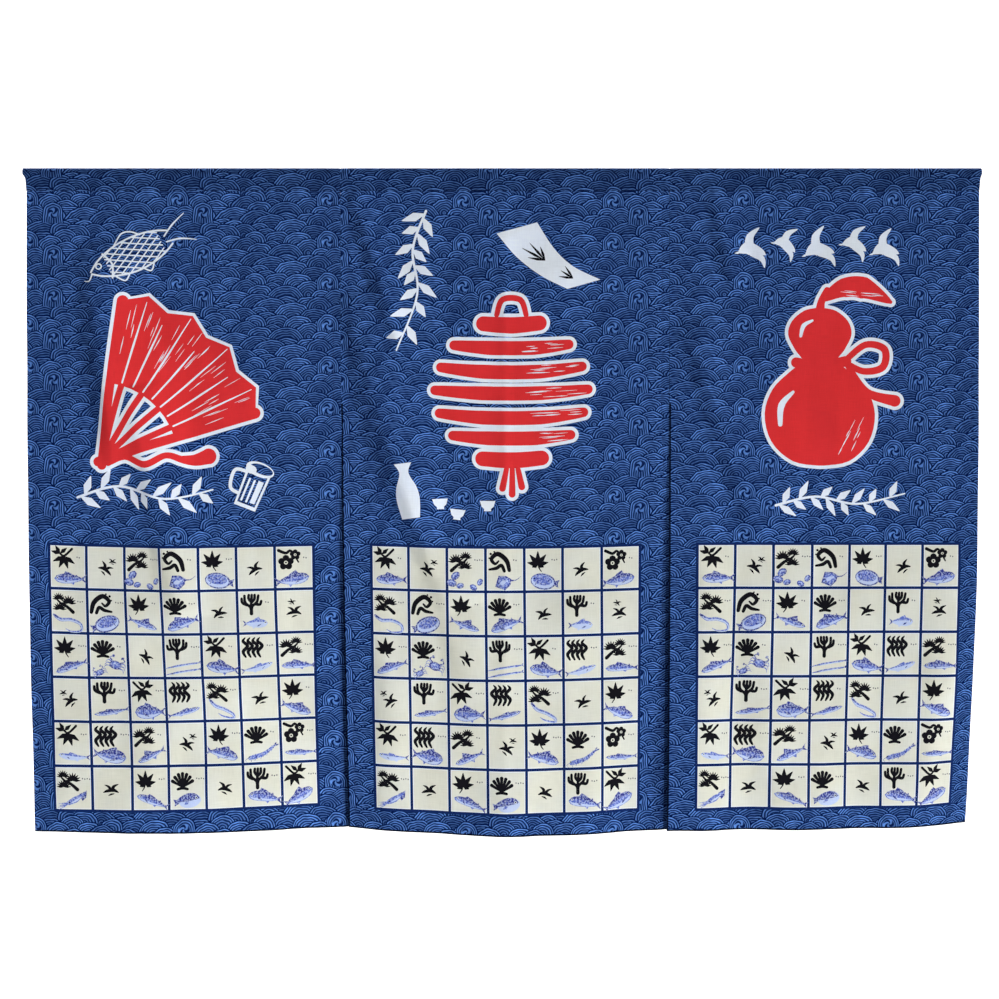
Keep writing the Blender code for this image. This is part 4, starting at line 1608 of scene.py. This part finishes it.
# Studio, in metres. The sun stands low on the right, as the photo's folds are lit.
SUN_POWER = 2.1
SUN_WIDTH = math.radians(11.0)
SUN_WAY = (-0.86, 0.5, -0.12)
SKY_POWER = 0.09
Lamp = namedtuple("Lamp", "name place target size power")
LAMPS = (
    Lamp("foot", (-0.1, -1.3, -1.22), (-0.1, 0.0, -0.7), (1.8, 0.15), 5.9),
    Lamp("wall_left", (-2.4, 0.6, 1.6), (0.2, 2.0, -0.4), (1.2, 1.2), 115.0),
    Lamp("wall_right", (2.4, 0.6, 1.6), (-0.2, 2.0, -0.4), (1.2, 1.2), 115.0),
)
FLOOR_Z = -1.30
FLOOR_REACH = 6.0         # to the left, to the right and to the front
WALL_TOP = 5.0
CAMERA_AWAY = 2.2
CAMERA_X = -0.0037
CAMERA_Z = -0.450
LENS = 58.4
SENSOR = 36.0
BEND_START = 2.0
BEND = 1.1                # radius of the bend from the floor to the wall


def build_backdrop():
    """A white floor that curves up into a white wall."""
    profile = [(-FLOOR_REACH, FLOOR_Z), (BEND_START, FLOOR_Z)]
    profile += [(BEND_START + BEND * math.sin(angle), FLOOR_Z + BEND - BEND * math.cos(angle))
                for angle in np.radians(np.arange(5.0, 91.0, 5.0))]
    profile.append((BEND_START + BEND, WALL_TOP))
    verts = [(x, y, z) for x in (-FLOOR_REACH, FLOOR_REACH) for y, z in profile]
    count = len(profile)
    faces = [(k, k + count, k + count + 1, k + 1) for k in range(count - 1)]
    paper = plain_material("backdrop_paper", (0.93, 0.93, 0.93, 1.0), 0.9)
    backdrop = add_object("backdrop", verts, faces, [paper])
    backdrop.data.shade_smooth()


def aimed(name, data, way):
    """A light that shines along a way."""
    light = in_scene(name, data)
    light.rotation_euler = Vector(way).to_track_quat("-Z", "Y").to_euler()
    return light


def light_and_camera():
    key = bpy.data.lights.new("key", "SUN")
    key.energy = SUN_POWER
    key.angle = SUN_WIDTH
    aimed("key", key, SUN_WAY)
    for lamp in LAMPS:
        data = bpy.data.lights.new(lamp.name, "AREA")
        data.shape = "RECTANGLE"
        data.size, data.size_y = lamp.size
        data.energy = lamp.power
        light = aimed(lamp.name, data, Vector(lamp.target) - Vector(lamp.place))
        light.location = lamp.place
    world = bpy.data.worlds.new("studio")
    world.use_nodes = True
    sky = world.node_tree.nodes["Background"].inputs
    sky["Color"].default_value = (1.0, 1.0, 1.0, 1.0)
    sky["Strength"].default_value = SKY_POWER
    bpy.context.scene.world = world
    bpy.context.scene.view_settings.view_transform = "Standard"
    data = bpy.data.cameras.new("camera")
    data.lens = LENS
    data.sensor_width = SENSOR
    camera = in_scene("camera", data)
    camera.location = (CAMERA_X, -CAMERA_AWAY, CAMERA_Z)
    camera.rotation_euler = (math.pi / 2.0, 0.0, 0.0)
    bpy.context.scene.camera = camera


def main():
    materials = (wave_material(), ink_material())
    thread = plain_material("thread", srgb(30, 50, 100), 0.7)
    for panel in PANELS:
        cloth = build_panel(panel, materials)
        stitches = panel_stitches(panel, thread)
        for piece in (cloth, stitches):
            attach(piece, "root")
        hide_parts(panel.name)
    sleeve = build_sleeve(materials)
    stitches = sleeve_stitches(thread)
    tapes = build_tapes(plain_material("seam_cloth", srgb(24, 42, 88), 0.9))
    for piece in (sleeve, stitches, tapes):
        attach(piece, "root")
    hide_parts("heading_sleeve")
    build_backdrop()
    light_and_camera()


main()
